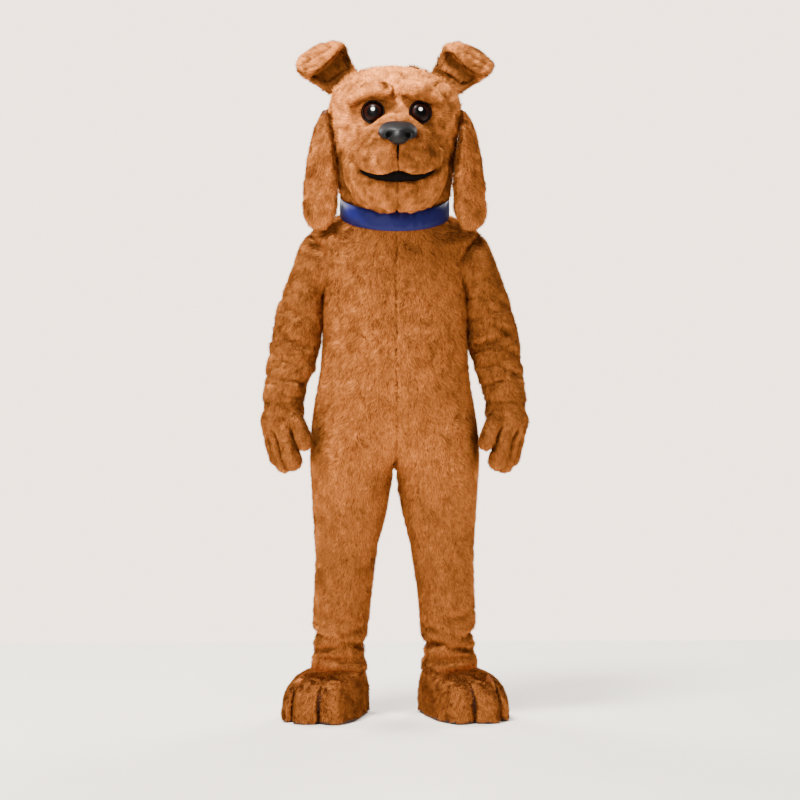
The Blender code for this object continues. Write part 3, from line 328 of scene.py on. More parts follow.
def rim_edges(tris):
    """The edges, in the order their triangle walks them, that only one triangle has."""
    walks = tris[:, [[0, 1], [1, 2], [2, 0]]].reshape(-1, 2)
    size = int(tris.max()) + 1
    forward = walks[:, 0] * size + walks[:, 1]
    backward = walks[:, 1] * size + walks[:, 0]
    return walks[~np.isin(forward, backward)]


print("the collar's rim:", len(rim_edges(outer_wall("collar")[2])), "edges")


# %% [markdown]
# ## Meshes, cloth and pads
#
# Sewn cloth has two faces and a cut edge, so a cloth piece is the outer wall, the same wall a few millimetres
# further in, and a strip that joins their rims. A stuffed pad has no inside face: its rim is closed behind,
# where it is sewn down.


# %% Mesh, cloth and pad makers
BACKING_SHARE = 0.18
PAD_SHARE = 0.35
THINNED_OVER = 3000


def thinned(thing, share=BACKING_SHARE):
    """Keeps that share of a mesh's triangles, more where it bends, since pile hides the rest."""
    modifier = thing.modifiers.new("thin", "DECIMATE")
    modifier.ratio = share
    bpy.context.view_layer.update()
    fewer = bpy.data.meshes.new_from_object(thing.evaluated_get(bpy.context.evaluated_depsgraph_get()))
    thing.modifiers.clear()
    thing.data = fewer
    fewer.polygons.foreach_set("use_smooth", np.full(len(fewer.polygons), True))
    return thing


def mesh_of(name, points, tris):
    """An object in the scene from arrays of points and triangles."""
    data = bpy.data.meshes.new(name)
    data.vertices.add(len(points))
    data.vertices.foreach_set("co", np.ascontiguousarray(points, dtype=np.float32).ravel())
    data.loops.add(tris.size)
    data.loops.foreach_set("vertex_index", np.ascontiguousarray(tris, dtype=np.int32).ravel())
    data.polygons.add(len(tris))
    data.polygons.foreach_set("loop_start", np.arange(0, tris.size, 3, dtype=np.int32))
    data.update(calc_edges=True)
    data.validate()
    data.polygons.foreach_set("use_smooth", np.full(len(data.polygons), True))
    thing = bpy.data.objects.new(name, data)
    bpy.context.scene.collection.objects.link(thing)
    return thing


def cloth(name, skin, under, thick):
    """A closed thin shell whose outer face lies under the skin by that much."""
    points, normals, tris = skin
    number = len(points)
    a, b = rim_edges(tris).T
    strip = np.concatenate((np.stack((b, a, a + number), 1), np.stack((b, a + number, b + number), 1)))
    every = np.concatenate((points - normals * under, points - normals * (under + thick)))
    thing = mesh_of(name, every, np.concatenate((tris, tris[:, ::-1] + number, strip)))
    return thinned(thing) if len(tris) > THINNED_OVER else thing


def pad(name, skin, under):
    """A closed stuffed form: the skin, drawn in, with its rim filled behind."""
    points, normals, tris = skin
    thing = mesh_of(name, points - normals * under, tris)
    mesh = bmesh.new()
    mesh.from_mesh(thing.data)
    open_edges = [edge for edge in mesh.edges if len(edge.link_faces) == 1]
    if open_edges:
        filled = bmesh.ops.holes_fill(mesh, edges=open_edges, sides=0)["faces"]
        bmesh.ops.triangulate(mesh, faces=filled)
    mesh.to_mesh(thing.data)
    mesh.free()
    thing.data.polygons.foreach_set("use_smooth", np.full(len(thing.data.polygons), True))
    return thinned(thing, PAD_SHARE)


print("kept of the triangles under the pile:", BACKING_SHARE, "of cloth and", PAD_SHARE, "of a pad")

# %% [markdown]
# ## Wandering values
#
# Plush is never even: the nap swirls, locks lie together and the colour drifts. All of it comes from one helper,
# a lattice of seeded numbers that is read smoothly at any place, so two pieces that meet agree where they meet
# and the result is the same on every run.


# %% A smooth random field
LATTICE = 24
FOLD_SHARE = 0.26


def wander(places, size, seed, parts=3):
    """Smooth values from -1 to 1 that change over about that size, with a number of parts."""
    lattice = np.random.default_rng(seed).uniform(-1, 1, (LATTICE, LATTICE, LATTICE, parts))
    scaled = places / np.asarray(size)
    low = np.floor(scaled).astype(int)
    share = scaled - low
    share = share * share * (3 - 2 * share)
    total = np.zeros((len(places), parts))
    for corner in range(8):
        step = np.array([corner & 1, corner >> 1 & 1, corner >> 2 & 1])
        weight = np.where(step == 1, share, 1 - share).prod(axis=1)[:, None]
        x, y, z = ((low + step) % LATTICE).T
        total += weight * lattice[x, y, z]
    return total


def rumple(places, size, seed):
    """Troughs from 0 to 1 that run as a crumpled net, with cells of that size."""
    value = wander(places, size, seed, 1)[:, 0]
    return np.clip(1 - np.abs(value) / FOLD_SHARE, 0, 1) ** 2


print("values at one place:", wander(np.full((1, 3), 0.1), 0.05, 1).round(2).tolist())


# %% [markdown]
# ## Plush pile
#
# Hair curves would be the obvious way to make fur, but a curve isn't a surface that can be taken elsewhere. So
# the pile is a mesh of many narrow blades, each a single triangle, rooted a few millimetres inside the cloth's
# outer line and lying along the nap. Neighbours lean together, which gives the locks, and near a seam they part.
# Each blade carries three numbers for the colour: how near its tip a point is, the painted shade and tone of its
# place, and a lot drawn for the blade.


# %% Places for the blades
def scatter(skin, count, rng):
    """Evenly spread places on a skin, with the normals and the hollowness there."""
    points, normals, tris = skin
    corner = points[tris]
    area = np.linalg.norm(np.cross(corner[:, 1] - corner[:, 0], corner[:, 2] - corner[:, 0]), axis=1)
    reach = np.cumsum(area)
    pick = np.searchsorted(reach, (np.arange(count) + rng.random(count)) * reach[-1] / count)
    pick = np.minimum(pick, len(tris) - 1)
    a, b = rng.random((2, count))
    over = a + b > 1
    a[over], b[over] = 1 - a[over], 1 - b[over]
    weight = np.stack((1 - a - b, a, b), axis=1)[:, :, None]
    hollow = (hollowness(skin)[tris][pick][:, :, None] * weight).sum(axis=1)[:, 0]
    return (corner[pick] * weight).sum(axis=1), unit((normals[tris][pick] * weight).sum(axis=1)), hollow


def rim_places(skin, parts):
    """Places along the skin's rim, so many to an edge."""
    points, _, tris = skin
    rim = rim_edges(tris)
    share = np.linspace(0, 1, parts + 1)[:-1, None, None]
    return (points[rim[:, 0]] * (1 - share) + points[rim[:, 1]] * share).reshape(-1, 3)


def finder(places):
    """A quick finder of the nearest of some places."""
    tree = kdtree.KDTree(len(places))
    for number, place in enumerate(places):
        tree.insert(place, number)
    tree.balance()
    return tree


def seam_gap(skin, places, free):
    """How far each place is from the skin's sewn rim, and the way to go from it."""
    along = rim_places(skin, 6)
    if free is not None:
        along = along[~free(along)]
    away = np.zeros_like(places)
    gap = np.full(len(places), 1.0)
    if len(along) == 0:
        return gap, away
    tree = finder(along)
    for number, place in enumerate(places):
        near, _, distance = tree.find(place)
        gap[number] = distance
        away[number] = place - np.array(near)
    return gap, unit(away)


print("the collar's rim is known at", len(rim_places(outer_wall("collar"), 6)), "places")

# %% [markdown]
# A blade's shade is dark at a seam and in a hollow of the cloth, where little light reaches, and drifts a little
# from lock to lock. Its patch of the flat map is a small triangle of its own, so a colour can be baked to it.


# %% Shade and flat map of the blades
FALLING = (0.0055, 0.0055, 0.019)
ROUND = (0.009, 0.009, 0.009)
CLUMPS = (0.013, 0.013, 0.013)
SEAM_SHADE = 0.0032
DEEPEST_HOLLOW = 200
SHARPEST_RIDGE = 120


def blade_shade(place, gap, hollow, seam, grain, mottle):
    """How bright each blade is, by how near a seam and how deep in a hollow it stands."""
    # Painted shade near a seam and in a hollow, a little painted light on a ridge, then a random tone.
    shade = np.clip(1 - 0.70 * seam * np.exp(-gap / SEAM_SHADE), 0, 1)
    shade = shade * (1 - 0.60 * np.clip(hollow / DEEPEST_HOLLOW, 0, 1)
                     + 0.10 * np.clip(-hollow / SHARPEST_RIDGE, 0, 1))
    patchy = 0.20 * wander(place, grain, 3, 1) + 0.10 * wander(place, 0.026, 4, 1) + 0.06 * wander(place, 0.10, 5, 1)
    return shade * (1 + mottle * patchy[:, 0])


def blade_map(number):
    """A small triangle of the flat map for each blade, in rows of square cells."""
    cells = math.ceil(math.sqrt(number))
    cell = np.stack((np.arange(number) % cells, np.arange(number) // cells), axis=1)
    corner = np.array([[0.15, 0.12], [0.85, 0.12], [0.5, 0.88]])
    return ((cell[:, None, :] + corner[None]) / cells).reshape(-1, 2)


print("flat map of 2 blades:", blade_map(2).round(2).tolist())

# %% [markdown]
# A blade follows the nap, with a swirl over a few centimetres, a turn that it shares with its lock and a little
# stray of its own. It lies away from a near seam and is shorter there, because the stitches pull the pile down.

# %% Blades of pile
PILE_ROOT = 0.0054
SEAM_REACH = 0.012
LEAST_RISE, MOST_RISE = 0.26, 1.2
SWIRL_SIZE, SWIRL = 0.060, 0.45
STRAY = 0.30
UNEVEN = 0.25
made_pile = []


def pile(name, skin, count, comb, length=0.0140, width=0.0031, lift=0.50, curl=0.80, seed=1,
         tone=None, free=None, root=PILE_ROOT, part=0.0004, seam=0.5, bare=None, trim=None, grain=FALLING,
         mottle=1.0):
    """A mesh of blades on a skin; comb gives the way the nap lies at each place."""
    rng = np.random.default_rng(seed)
    place, out, hollow = scatter(skin, count, rng)
    gap, away = seam_gap(skin, place, free)
    keep = gap > part
    if bare is not None:
        keep &= ~bare(place)
    place, out, gap, away, hollow = place[keep], out[keep], gap[keep], away[keep], hollow[keep]
    number = len(place)
    # the way each blade lies on the cloth, and how far it stands up
    near = seam * np.exp(-gap / (SEAM_REACH / 3))[:, None]
    lie = comb(place, out) + wander(place, SWIRL_SIZE, seed + 11) * SWIRL
    lie = unit(lie - dot(lie, out) * out) + away * near
    lock = wander(place, 0.013, 7) * 0.8 + wander(place, 0.030, 8) * 0.7
    lie = lie + lock * curl + rng.uniform(-1, 1, (number, 3)) * STRAY
    lie = unit(lie - dot(lie, out) * out)
    rise = lift + 0.20 * wander(place, 0.015, 9, 1) + rng.uniform(-0.10, 0.22, (number, 1)) - 0.15 * near
    rise = np.clip(rise, LEAST_RISE, MOST_RISE)
    along = unit(lie * np.cos(rise) + out * np.sin(rise))
    # its three points
    tall = length * (1 + 0.20 * wander(place, 0.018, 10, 1) + rng.uniform(-UNEVEN, UNEVEN, (number, 1)))
    tall = tall * (1 - 0.35 * near)
    if trim is not None:
        tall = tall * trim(place)[:, None]
    flat = unit(np.cross(along, out))
    twist = rng.uniform(-0.6, 0.6, (number, 1))
    side = (flat * np.cos(twist) + np.cross(along, flat) * np.sin(twist)) * width / 2
    base = place - out * root
    points = np.stack((base - side, base + side, base + along * tall), axis=1).reshape(-1, 3)
    thing = mesh_of(name, points, np.arange(3 * number).reshape(-1, 3))
    # its numbers for the colour, a soft normal and its patch of the flat map
    shade = blade_shade(place, gap, hollow, seam, grain, mottle)
    if tone is not None:
        shade = shade * tone(place, out)
    numbers = {"tip": np.tile([0.0, 0.0, 1.0], number), "tone": np.repeat(shade, 3),
               "lot": np.repeat(rng.random(number), 3)}
    for label, values in numbers.items():
        thing.data.attributes.new(label, "FLOAT", "POINT").data.foreach_set("value", values.astype(np.float32))
    soft = unit(out + lie * 0.30 + lock * 0.42 + rng.uniform(-1, 1, (number, 3)) * STRAY)
    thing.data.normals_split_custom_set_from_vertices(np.repeat(soft, 3, axis=0).tolist())
    thing.data.uv_layers.new(name="OFBake").data.foreach_set("uv", blade_map(number).astype(np.float32).ravel())
    thing.data.materials.append(plush_pile)
    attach(thing, "root")
    made_pile.append(number)
    return thing


print("a blade is", PILE_ROOT * 1000, "mm rooted in the cloth")


# %% [markdown]
# ## Finishes
#
# A finish is a material: a shader that says how the surface takes light, and nodes that make its colour. Colours
# are given as they are seen, and a small helper turns them into the numbers that shaders take.


# %% Helpers for finishes
def linear(red, green, blue):
    """A colour as it is seen, 0 to 255, turned into the numbers that shaders take."""
    seen = np.array([red, green, blue]) / 255
    true = np.where(seen <= 0.04045, seen / 12.92, ((seen + 0.055) / 1.055) ** 2.4)
    return (*[float(x) for x in true], 1.0)


def finish_of(name, rough=0.5, **fixed):
    """A material with only its shader set, and the nodes to build on."""
    made = bpy.data.materials.new(name)
    made.use_nodes = True
    shader = made.node_tree.nodes["Principled BSDF"]
    shader.inputs["Roughness"].default_value = rough
    for label, value in fixed.items():
        shader.inputs[label.replace("_", " ")].default_value = value
    return made, made.node_tree.nodes, made.node_tree.links, shader


def group_of(name, takes, gives):
    """An empty node group with named inputs and outputs: (name, kind, value) each."""
    tree = bpy.data.node_groups.new(name, "ShaderNodeTree")
    for label, kind, value in takes:
        tree.interface.new_socket(label, in_out="INPUT", socket_type=kind).default_value = value
    for label, kind in gives:
        tree.interface.new_socket(label, in_out="OUTPUT", socket_type=kind)
    return tree, tree.nodes.new("NodeGroupInput"), tree.nodes.new("NodeGroupOutput")


def math_node(nodes, links, job, first, second):
    node = nodes.new("ShaderNodeMath")
    node.operation = job
    for slot_number, value in enumerate((first, second)):
        if isinstance(value, (int, float)):
            node.inputs[slot_number].default_value = value
        elif value is not None:
            links.new(value, node.inputs[slot_number])
    return node.outputs[0]


def times_plus(nodes, links, value, times, plus):
    """A value multiplied by one number, with another added."""
    out = math_node(nodes, links, "MULTIPLY_ADD", value, times)
    out.node.inputs[2].default_value = plus
    return out


def number_node(nodes, name):
    """A number that each point of a mesh carries, by its name."""
    node = nodes.new("ShaderNodeAttribute")
    node.attribute_name = name
    return node.outputs["Fac"]


def mix_node(nodes, links, share, first, second, blend="MIX"):
    node = nodes.new("ShaderNodeMix")
    node.data_type = "RGBA"
    node.blend_type = blend
    for label, value in (("Factor", share), ("A", first), ("B", second)):
        plug = [s for s in node.inputs if s.name == label and s.enabled][0]
        if isinstance(value, (int, float, tuple)):
            plug.default_value = value
        else:
            links.new(value, plug)
    return [s for s in node.outputs if s.enabled][0]


def raised(nodes, links, shader, height, strength, distance):
    """Small relief in a finish, from a height."""
    bump = nodes.new("ShaderNodeBump")
    bump.inputs["Strength"].default_value = strength
    bump.inputs["Distance"].default_value = distance
    links.new(height, bump.inputs["Height"])
    links.new(bump.outputs["Normal"], shader.inputs["Normal"])


print("mid grey as shaders take it:", round(linear(128, 128, 128)[0], 3))

# %% [markdown]
# Moulded skin, rubber, knitted backing, black lining and the floor all have a fine grain: two near colours that
# change places over a short distance, and a surface that rises and falls with them. One group makes both, and
# each of those finishes places it with its own numbers.


# %% Fine grain group
grain_group, grain_in, grain_out = group_of(
    "fine grain",
    [("Dark", "NodeSocketColor", linear(14, 12, 12)), ("Pale", "NodeSocketColor", linear(30, 27, 26)),
     ("Size", "NodeSocketFloat", 260.0), ("Detail", "NodeSocketFloat", 2.0)],
    [("Color", "NodeSocketColor"), ("Height", "NodeSocketFloat")])
nodes, links = grain_group.nodes, grain_group.links
where = nodes.new("ShaderNodeTexCoord")
grain = nodes.new("ShaderNodeTexNoise")
links.new(where.outputs["Object"], grain.inputs["Vector"])
links.new(grain_in.outputs["Size"], grain.inputs["Scale"])
links.new(grain_in.outputs["Detail"], grain.inputs["Detail"])
links.new(mix_node(nodes, links, grain.outputs["Fac"], grain_in.outputs["Dark"], grain_in.outputs["Pale"]),
          grain_out.inputs["Color"])
links.new(grain.outputs["Fac"], grain_out.inputs["Height"])


def grained(nodes, links, shader, dark, pale, size, detail=2.0, relief=(0.3, 0.0006)):
    """The grain placed in a finish with its relief; gives the colour, to be linked or mixed."""
    placed = nodes.new("ShaderNodeGroup")
    placed.node_tree = grain_group
    for label, value in (("Dark", dark), ("Pale", pale), ("Size", size), ("Detail", detail)):
        placed.inputs[label].default_value = value
    raised(nodes, links, shader, placed.outputs["Height"], *relief)
    return placed.outputs["Color"]


print("fine grain group:", len(nodes), "nodes")

# %% [markdown]
# ## Colours of the plush
#
# Fur cloth is dyed in one colour and looks like many. The roots are painted darker and warmer than the tips, a
# painted shade deep in the pile. A second group makes that colour from a blade's numbers, and the pile's finish
# places it with its root and tip colours.

# %% Plush colour group
plush_group, plush_in, plush_out = group_of(
    "plush colour",
    [("Root", "NodeSocketColor", linear(120, 66, 28)), ("Tip", "NodeSocketColor", linear(215, 145, 85)),
     ("Streak size", "NodeSocketFloat", 90.0)],
    [("Color", "NodeSocketColor")])
nodes, links = plush_group.nodes, plush_group.links
where = nodes.new("ShaderNodeTexCoord")
streak = nodes.new("ShaderNodeTexNoise")
streak.inputs["Detail"].default_value = 2.0
links.new(where.outputs["Object"], streak.inputs["Vector"])
links.new(plush_in.outputs["Streak size"], streak.inputs["Scale"])
rising = math_node(nodes, links, "POWER", number_node(nodes, "tip"), 0.7)
ramped = mix_node(nodes, links, rising, plush_in.outputs["Root"], plush_in.outputs["Tip"])
lot_shift = times_plus(nodes, links, number_node(nodes, "lot"), 0.80, 0.60)
streaked = times_plus(nodes, links, streak.outputs["Fac"], 0.5, 0.75)
bright = math_node(nodes, links, "MULTIPLY", lot_shift, streaked)
bright = math_node(nodes, links, "MULTIPLY", bright, number_node(nodes, "tone"))
grey = nodes.new("ShaderNodeCombineColor")
for plug in grey.inputs[:3]:
    links.new(bright, plug)
coloured = mix_node(nodes, links, 1.0, ramped, grey.outputs["Color"], "MULTIPLY")
links.new(coloured, plush_out.inputs["Color"])
print("plush colour group:", len(nodes), "nodes")

# %% [markdown]
# A blade has no thickness, so light has to find its front on both of its faces: its normal is turned round where
# the back is seen. The backing is brown knitting that shows only where the pile parts, and in the grooves of the
# feet it is painted nearly black, as painted shade.

# %% Pile finish and the cloth under it
plush_pile, nodes, links, shader = finish_of("plush pile", 0.80, Specular_IOR_Level=0.0)
placed = nodes.new("ShaderNodeGroup")
placed.node_tree = plush_group
# The root colour is painted shade deep in the pile; the tip colour is the lit pile.
placed.inputs["Root"].default_value = linear(110, 53, 22)
placed.inputs["Tip"].default_value = linear(212, 129, 65)
links.new(placed.outputs["Color"], shader.inputs["Base Color"])
facing = nodes.new("ShaderNodeNewGeometry")
flip = times_plus(nodes, links, facing.outputs["Backfacing"], -2.0, 1.0)
turned = nodes.new("ShaderNodeVectorMath")
turned.operation = "SCALE"
links.new(facing.outputs["Normal"], turned.inputs[0])
links.new(flip, turned.inputs["Scale"])
links.new(turned.outputs["Vector"], shader.inputs["Normal"])

plush_backing, nodes, links, shader = finish_of("plush backing", 0.9, Specular_IOR_Level=0.15)
knitted = grained(nodes, links, shader, linear(80, 35, 10), linear(130, 68, 26), 240.0, 3.0, (0.6, 0.002))
# Painted shade: the backing turns nearly black along the feet's grooves, where their cloth carries the groove
# number.
links.new(mix_node(nodes, links, number_node(nodes, "groove"), knitted, linear(38, 17, 7)),
          shader.inputs["Base Color"])
print("plush finishes made")

# %% [markdown]
# ## Creases in worn cloth
#
# Fur cloth is thick, so it bends in few, rounded creases. The main ones are listed, each as a trough with a
# soft ridge above it. A faint crumple between them stands for the small ones. Both arms and both legs crease alike
# but not the same.


# %% Creases round a limb
def round_limb(places, line):
    """Degrees round a limb, 0 at the front and 90 at its outer side, about a centre line of (height, x, y)."""
    heights, xs, ys = np.array(sorted(line)).T
    x = np.abs(places[:, 0]) - np.interp(places[:, 2], heights, xs)
    y = places[:, 1] - np.interp(places[:, 2], heights, ys)
    return np.degrees(np.arctan2(x, -y)) % 360


RIDGE_SHARE, RIDGE_ABOVE, RIDGE_WIDE = 0.45, 1.9, 1.2


def creases(places, turn, table, seed):
    """How far in the cloth is drawn by a table of creases, with a soft ridge above each."""
    drawn = np.zeros(len(places))
    wobble = wander(places, 0.05, seed, 1)[:, 0]
    for height, middle, reach, wide, deep, slant in table:
        off = (turn - middle + 180) % 360 - 180
        share = np.clip(np.abs(off) / reach, 0, 1)
        fade = (1 - share * share) ** 2
        rise = places[:, 2] - (height + slant * off / reach + 0.35 * wide * wobble)
        drawn += deep * fade * hump(rise, wide)
        drawn -= RIDGE_SHARE * deep * fade * hump(rise - RIDGE_ABOVE * wide, RIDGE_WIDE * wide)
    return drawn


def drawn_in(skin, depth):
    """The skin moved in by a depth at each point, with new normals."""
    points, normals, tris = skin
    points = points - normals * depth[:, None]
    return points, point_normals(points, tris), tris


def dimpled(skin, deep, size, seed):
    """The skin with soft dimples and bumps of about that size."""
    return drawn_in(skin, deep * wander(skin[0], size, seed, 1)[:, 0])


straight_limb = [(0, 0.3, 0.0), (1, 0.3, 0.0)]
print("a limb's outer side is at", round_limb(np.array([[0.4, 0.0, 0.0]]), straight_limb)[0], "degrees")

# %% [markdown]
# The tables hold, for each crease: its height, the side it faces in degrees, how far round it reaches, how wide
# and how deep it is, and how much it slants. The lines run down the middle of a leg and of an arm.

# %% Creases of the legs and sleeves
SUIT_LEG_LINE = [(-1.30, 0.160, 0.010), (-0.90, 0.135, 0.005), (-0.62, 0.110, 0.0)]
SHIN_CREASES = [
    (-1.262, 340, 100, 0.0085, 0.0070, 0.006),
    (-1.228, 50, 85, 0.0100, 0.0090, -0.014),
    (-1.214, 305, 80, 0.0100, 0.0085, 0.016),
    (-1.186, 75, 75, 0.0110, 0.0070, 0.016),
    (-1.172, 320, 75, 0.0120, 0.0060, -0.022),
    (-1.136, 20, 90, 0.0140, 0.0045, 0.024),
    (-1.250, 180, 90, 0.0090, 0.0075, -0.005),
    (-1.214, 190, 80, 0.0100, 0.0070, 0.008),
    (-1.170, 160, 70, 0.0120, 0.0050, -0.014),
    (-0.930, 185, 80, 0.0200, 0.0040, 0.010),
    (-0.890, 20, 80, 0.0240, 0.0030, 0.020),
]
SLEEVE_LINE = [(-0.50, 0.335, -0.020), (-0.30, 0.320, -0.010), (-0.14, 0.285, 0.0), (0.0, 0.225, 0.0)]
ELBOW_CREASES = [
    (-0.150, 330, 75, 0.0160, 0.0035, 0.050),
    (-0.205, 45, 70, 0.0150, 0.0050, -0.045),
    (-0.248, 325, 75, 0.0140, 0.0064, 0.045),
    (-0.285, 25, 65, 0.0130, 0.0062, -0.040),
    (-0.322, 335, 80, 0.0130, 0.0068, 0.048),
    (-0.352, 60, 70, 0.0120, 0.0060, -0.030),
    (-0.380, 345, 75, 0.0120, 0.0064, 0.036),
    (-0.408, 35, 70, 0.0110, 0.0056, -0.030),
    (-0.440, 330, 80, 0.0100, 0.0050, 0.020),
    (-0.225, 200, 80, 0.0140, 0.0050, 0.040),
    (-0.285, 160, 75, 0.0130, 0.0060, -0.036),
    (-0.335, 215, 80, 0.0130, 0.0062, 0.036),
    (-0.385, 170, 75, 0.0120, 0.0052, -0.030),
    (-0.430, 205, 80, 0.0100, 0.0045, 0.020),
]
print("creases a leg:", len(SHIN_CREASES), "a sleeve:", len(ELBOW_CREASES))

# %% [markdown]
# ## The suit
#
# The suit is sewn from two front and two back panels that meet at a centre-front seam, a centre-back seam and
# the sides, and each panel runs from the neck to the hem of a leg. The nap falls down the body and a little
# outward. The pile is darker in a patch on each hip, beside the gloves.
#
# Under the pile of each piece lies its backing, a thin brown knitted cloth. The two are made together here, and
# stand for the solid that they cover. All of the costume moves as one body.


# %% Backing and pile on a piece
BACKING_UNDER = 0.0058
BACKING_THICK = 0.0024
SIDES = (("left", 1), ("right", -1))
plush_cloths = {}


def dressed(thing, finish, node):
    """A piece with its finish, in place of a solid."""
    thing.data.materials.append(finish)
    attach(thing, "root")
    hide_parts(node)
    return thing


def plush_cover(node, skin, blades, comb, under=BACKING_UNDER, thick=BACKING_THICK, stuffed=False, **pile_words):
    """A piece's backing, or its stuffed pad, in place of its solid, and the pile on it."""
    thing = pad(f"{node}_pad", skin, under) if stuffed else cloth(f"{node}_cloth", skin, under, thick)
    plush_cloths[node] = dressed(thing, plush_backing, node)
    pile(f"{node}_pile", skin, blades, comb, **pile_words)
    print(node, len(skin[2]), "triangles,", made_pile[-1], "blades")


print("the backing lies", BACKING_UNDER * 1000, "mm under the pile's outer line")

# %% [markdown]
# The nap of the suit is a direction at each place, and its shade a number. The hips are darker in patches, the
# chest gets a painted shadow of the head and the legs painted shade that makes them duller than the trunk. The pile
# is left off under the collar and trimmed at the hems.


# %% Nap and shade of the suit
HIP_DARK_PATCHES = [((-0.222, -0.070, -0.615), (0.026, 0.10, 0.070)), ((0.236, -0.070, -0.608), (0.026, 0.10, 0.070))]
HEM_ABOVE = 0.136
COLLAR_LEAN = 0.35
COLLAR_LOW, COLLAR_HIGH, COLLAR_RADIUS = 0.054, 0.104, 0.180


def suit_comb(place, out):
    """Down, and outward the more the further from the middle."""
    return arrows(place, place[:, 0] * 1.6, 0, -1)


def suit_shade_and_tone(place, out):
    """Darker patches on the hips, a painted shadow of the head on the chest and painted shade on the legs."""
    hip_patch = np.zeros(len(place))
    for centre, size in HIP_DARK_PATCHES:
        hip_patch += np.exp(-(((place - centre) / size) ** 2).sum(axis=1))
    # Painted shadow of the head on the chest, and painted shade that dulls the legs.
    head_shadow = np.exp(-np.clip(-0.075 - place[:, 2], 0, 1) / 0.10) * between(-place[:, 1], 0.0, 0.08)
    leg_shade = between(-place[:, 2], 0.60, 0.95)
    return (1 - 0.72 * np.clip(hip_patch, 0, 1)) * (1 - 0.20 * head_shadow) * (1 - 0.27 * leg_shade)


def under_collar(place):
    """The collar leans down at the front, and covers the pile round the neck."""
    level = place[:, 2] - COLLAR_LEAN * place[:, 1]
    round_neck = np.hypot(place[:, 0], place[:, 1]) < COLLAR_RADIUS
    return (level > COLLAR_LOW) & (level < COLLAR_HIGH) & round_neck


def suit_trim(place):
    """Shorter pile at the hems of the legs."""
    return 1 - 0.45 * np.exp(-np.clip(place[:, 2] - FLOOR - HEM_ABOVE, 0, 1) / 0.012)


def suit_hem(place):
    """The edges that aren't sewn: the hems of the legs and the neck."""
    return (place[:, 2] < FLOOR + 0.150) | (place[:, 2] > 0.02) & (np.abs(place[:, 0]) < 0.165)


print("the hems of the legs are", HEM_ABOVE, "m above the floor")

# %% [markdown]
# The four panels have to meet in a line without a step, so their normals are turned straight out along the centre
# seams. The cloth is eased out where the crotch joins the legs, because four panels meet there in a sharp edge.


# %% Skin of the suit
CROTCH_BELOW, ANKLE_BELOW, WAIST_BELOW = 0.705, 1.20, 0.235


def squared(skin):
    """The skin with its normals turned straight out along the centre seams, so that the two edges meet."""
    points, normals, tris = skin
    turned_out = normals.copy()
    turned_out[np.abs(points[:, 0]) < 0.0012, 0] = 0.0
    return points, unit(turned_out), tris


def suit_limit(middle):
    """Finer cloth at the ankles and the crotch."""
    ankle = middle[:, 2] < -1.06
    crotch = (np.abs(middle[:, 2] + 0.71) < 0.07) & (np.abs(middle[:, 0]) < 0.12)
    return np.where(ankle | crotch, 0.0085, 0.0150)


def crotch_share(places):
    off = ((places[:, 2] + CROTCH_BELOW) / 0.060) ** 2 + (places[:, 0] / 0.110) ** 2
    return np.exp(-off * off)


def blended(skin, share, times):
    """The skin eased out where share is near 1; share gives a value at each point."""
    points, normals, tris = skin
    rim = np.zeros(len(points), bool)
    rim[rim_edges(tris).ravel()] = True
    weight = np.where(rim, 0.0, share(points) * 0.8)[:, None]
    for _ in range(times):
        middle, _ = neighbour_mean((points, normals, tris))
        points = points * (1 - weight) + middle * weight
    return points, point_normals(points, tris), tris


def suit_skin(node, seed):
    """A panel's outer wall, smooth, creased above the ankle and drawn in at the waist."""
    skin = squared(blended(relaxed(finer(outer_wall(node), suit_limit), 3), crotch_share, 160))
    places = skin[0]
    turn = round_limb(places, SUIT_LEG_LINE)
    low = 1 - between(places[:, 2], -0.86, -0.78)
    depth = 1.3 * creases(places, turn, SHIN_CREASES, seed) * low
    ankle = hump(places[:, 2] + ANKLE_BELOW, 0.055)
    depth += 0.0050 * ankle * rumple(places, (0.060, 0.060, 0.026), seed + 1)
    depth += 0.0022 * wander(places, 0.12, 41, 1)[:, 0] + 0.0014 * wander(places, (0.045, 0.045, 0.07), 42, 1)[:, 0]
    hem = between(places[:, 2], FLOOR + HEM_ABOVE, FLOOR + 0.152)
    points, normals, tris = drawn_in(skin, depth * hem)
    waist = hump(points[:, 2] + WAIST_BELOW, 0.075)
    points[:, 0] += np.sign(points[:, 0]) * 0.0060 * waist * between(np.abs(points[:, 0]), 0.150, 0.195)
    return squared((points, point_normals(points, tris), tris))


print("share of easing in the crotch:", crotch_share(np.array([[0.0, 0.0, -CROTCH_BELOW]]))[0])

# %% [markdown]
# The fronts are seen the most, so they have more blades than the backs.

# %% Suit panels
for side, sign in SIDES:
    for face, count in (("front", 90000), ("back", 57000)):
        node = f"suit_{face}_{side}"
        plush_cover(node, suit_skin(node, 40 + sign), count, suit_comb, seed=100 + count % 97 + sign,
                    tone=suit_shade_and_tone, free=suit_hem, bare=under_collar, part=0.0, seam=0.40, trim=suit_trim)

# %% [markdown]
# ## Sleeves
#
# Each sleeve is one tube set into the armhole. Its nap runs to the hand, and it is the most rumpled cloth on the
# costume because the elbow gathers there.


# %% Nap and shade of the sleeves
ELBOW_BELOW, CUFF_BELOW = 0.265, 0.44


def sleeve_comb(place, out):
    """Down the arm, which leans outward."""
    return arrows(place, np.sign(place[:, 0]) * 0.35, 0, -1)


# Painted shade: the sleeves are darker than the trunk, and the wearer's left one a little more.
def sleeve_painted_shade(place, out):
    return 0.72 - 0.04 * between(place[:, 0], -0.1, 0.1)


def sleeve_cuff(place):
    return place[:, 2] < -CUFF_BELOW


print("shade of the two sleeves:", sleeve_painted_shade(np.array([[-0.3, 0, 0], [0.3, 0, 0]]), None).round(2))

# %% [markdown]
# The creases start below the shoulder, where the armhole's seam holds the cloth flat, and a fine crumple lies
# between them. On the inner side of the elbow the cloth is pushed towards the body, as slack cloth hangs.

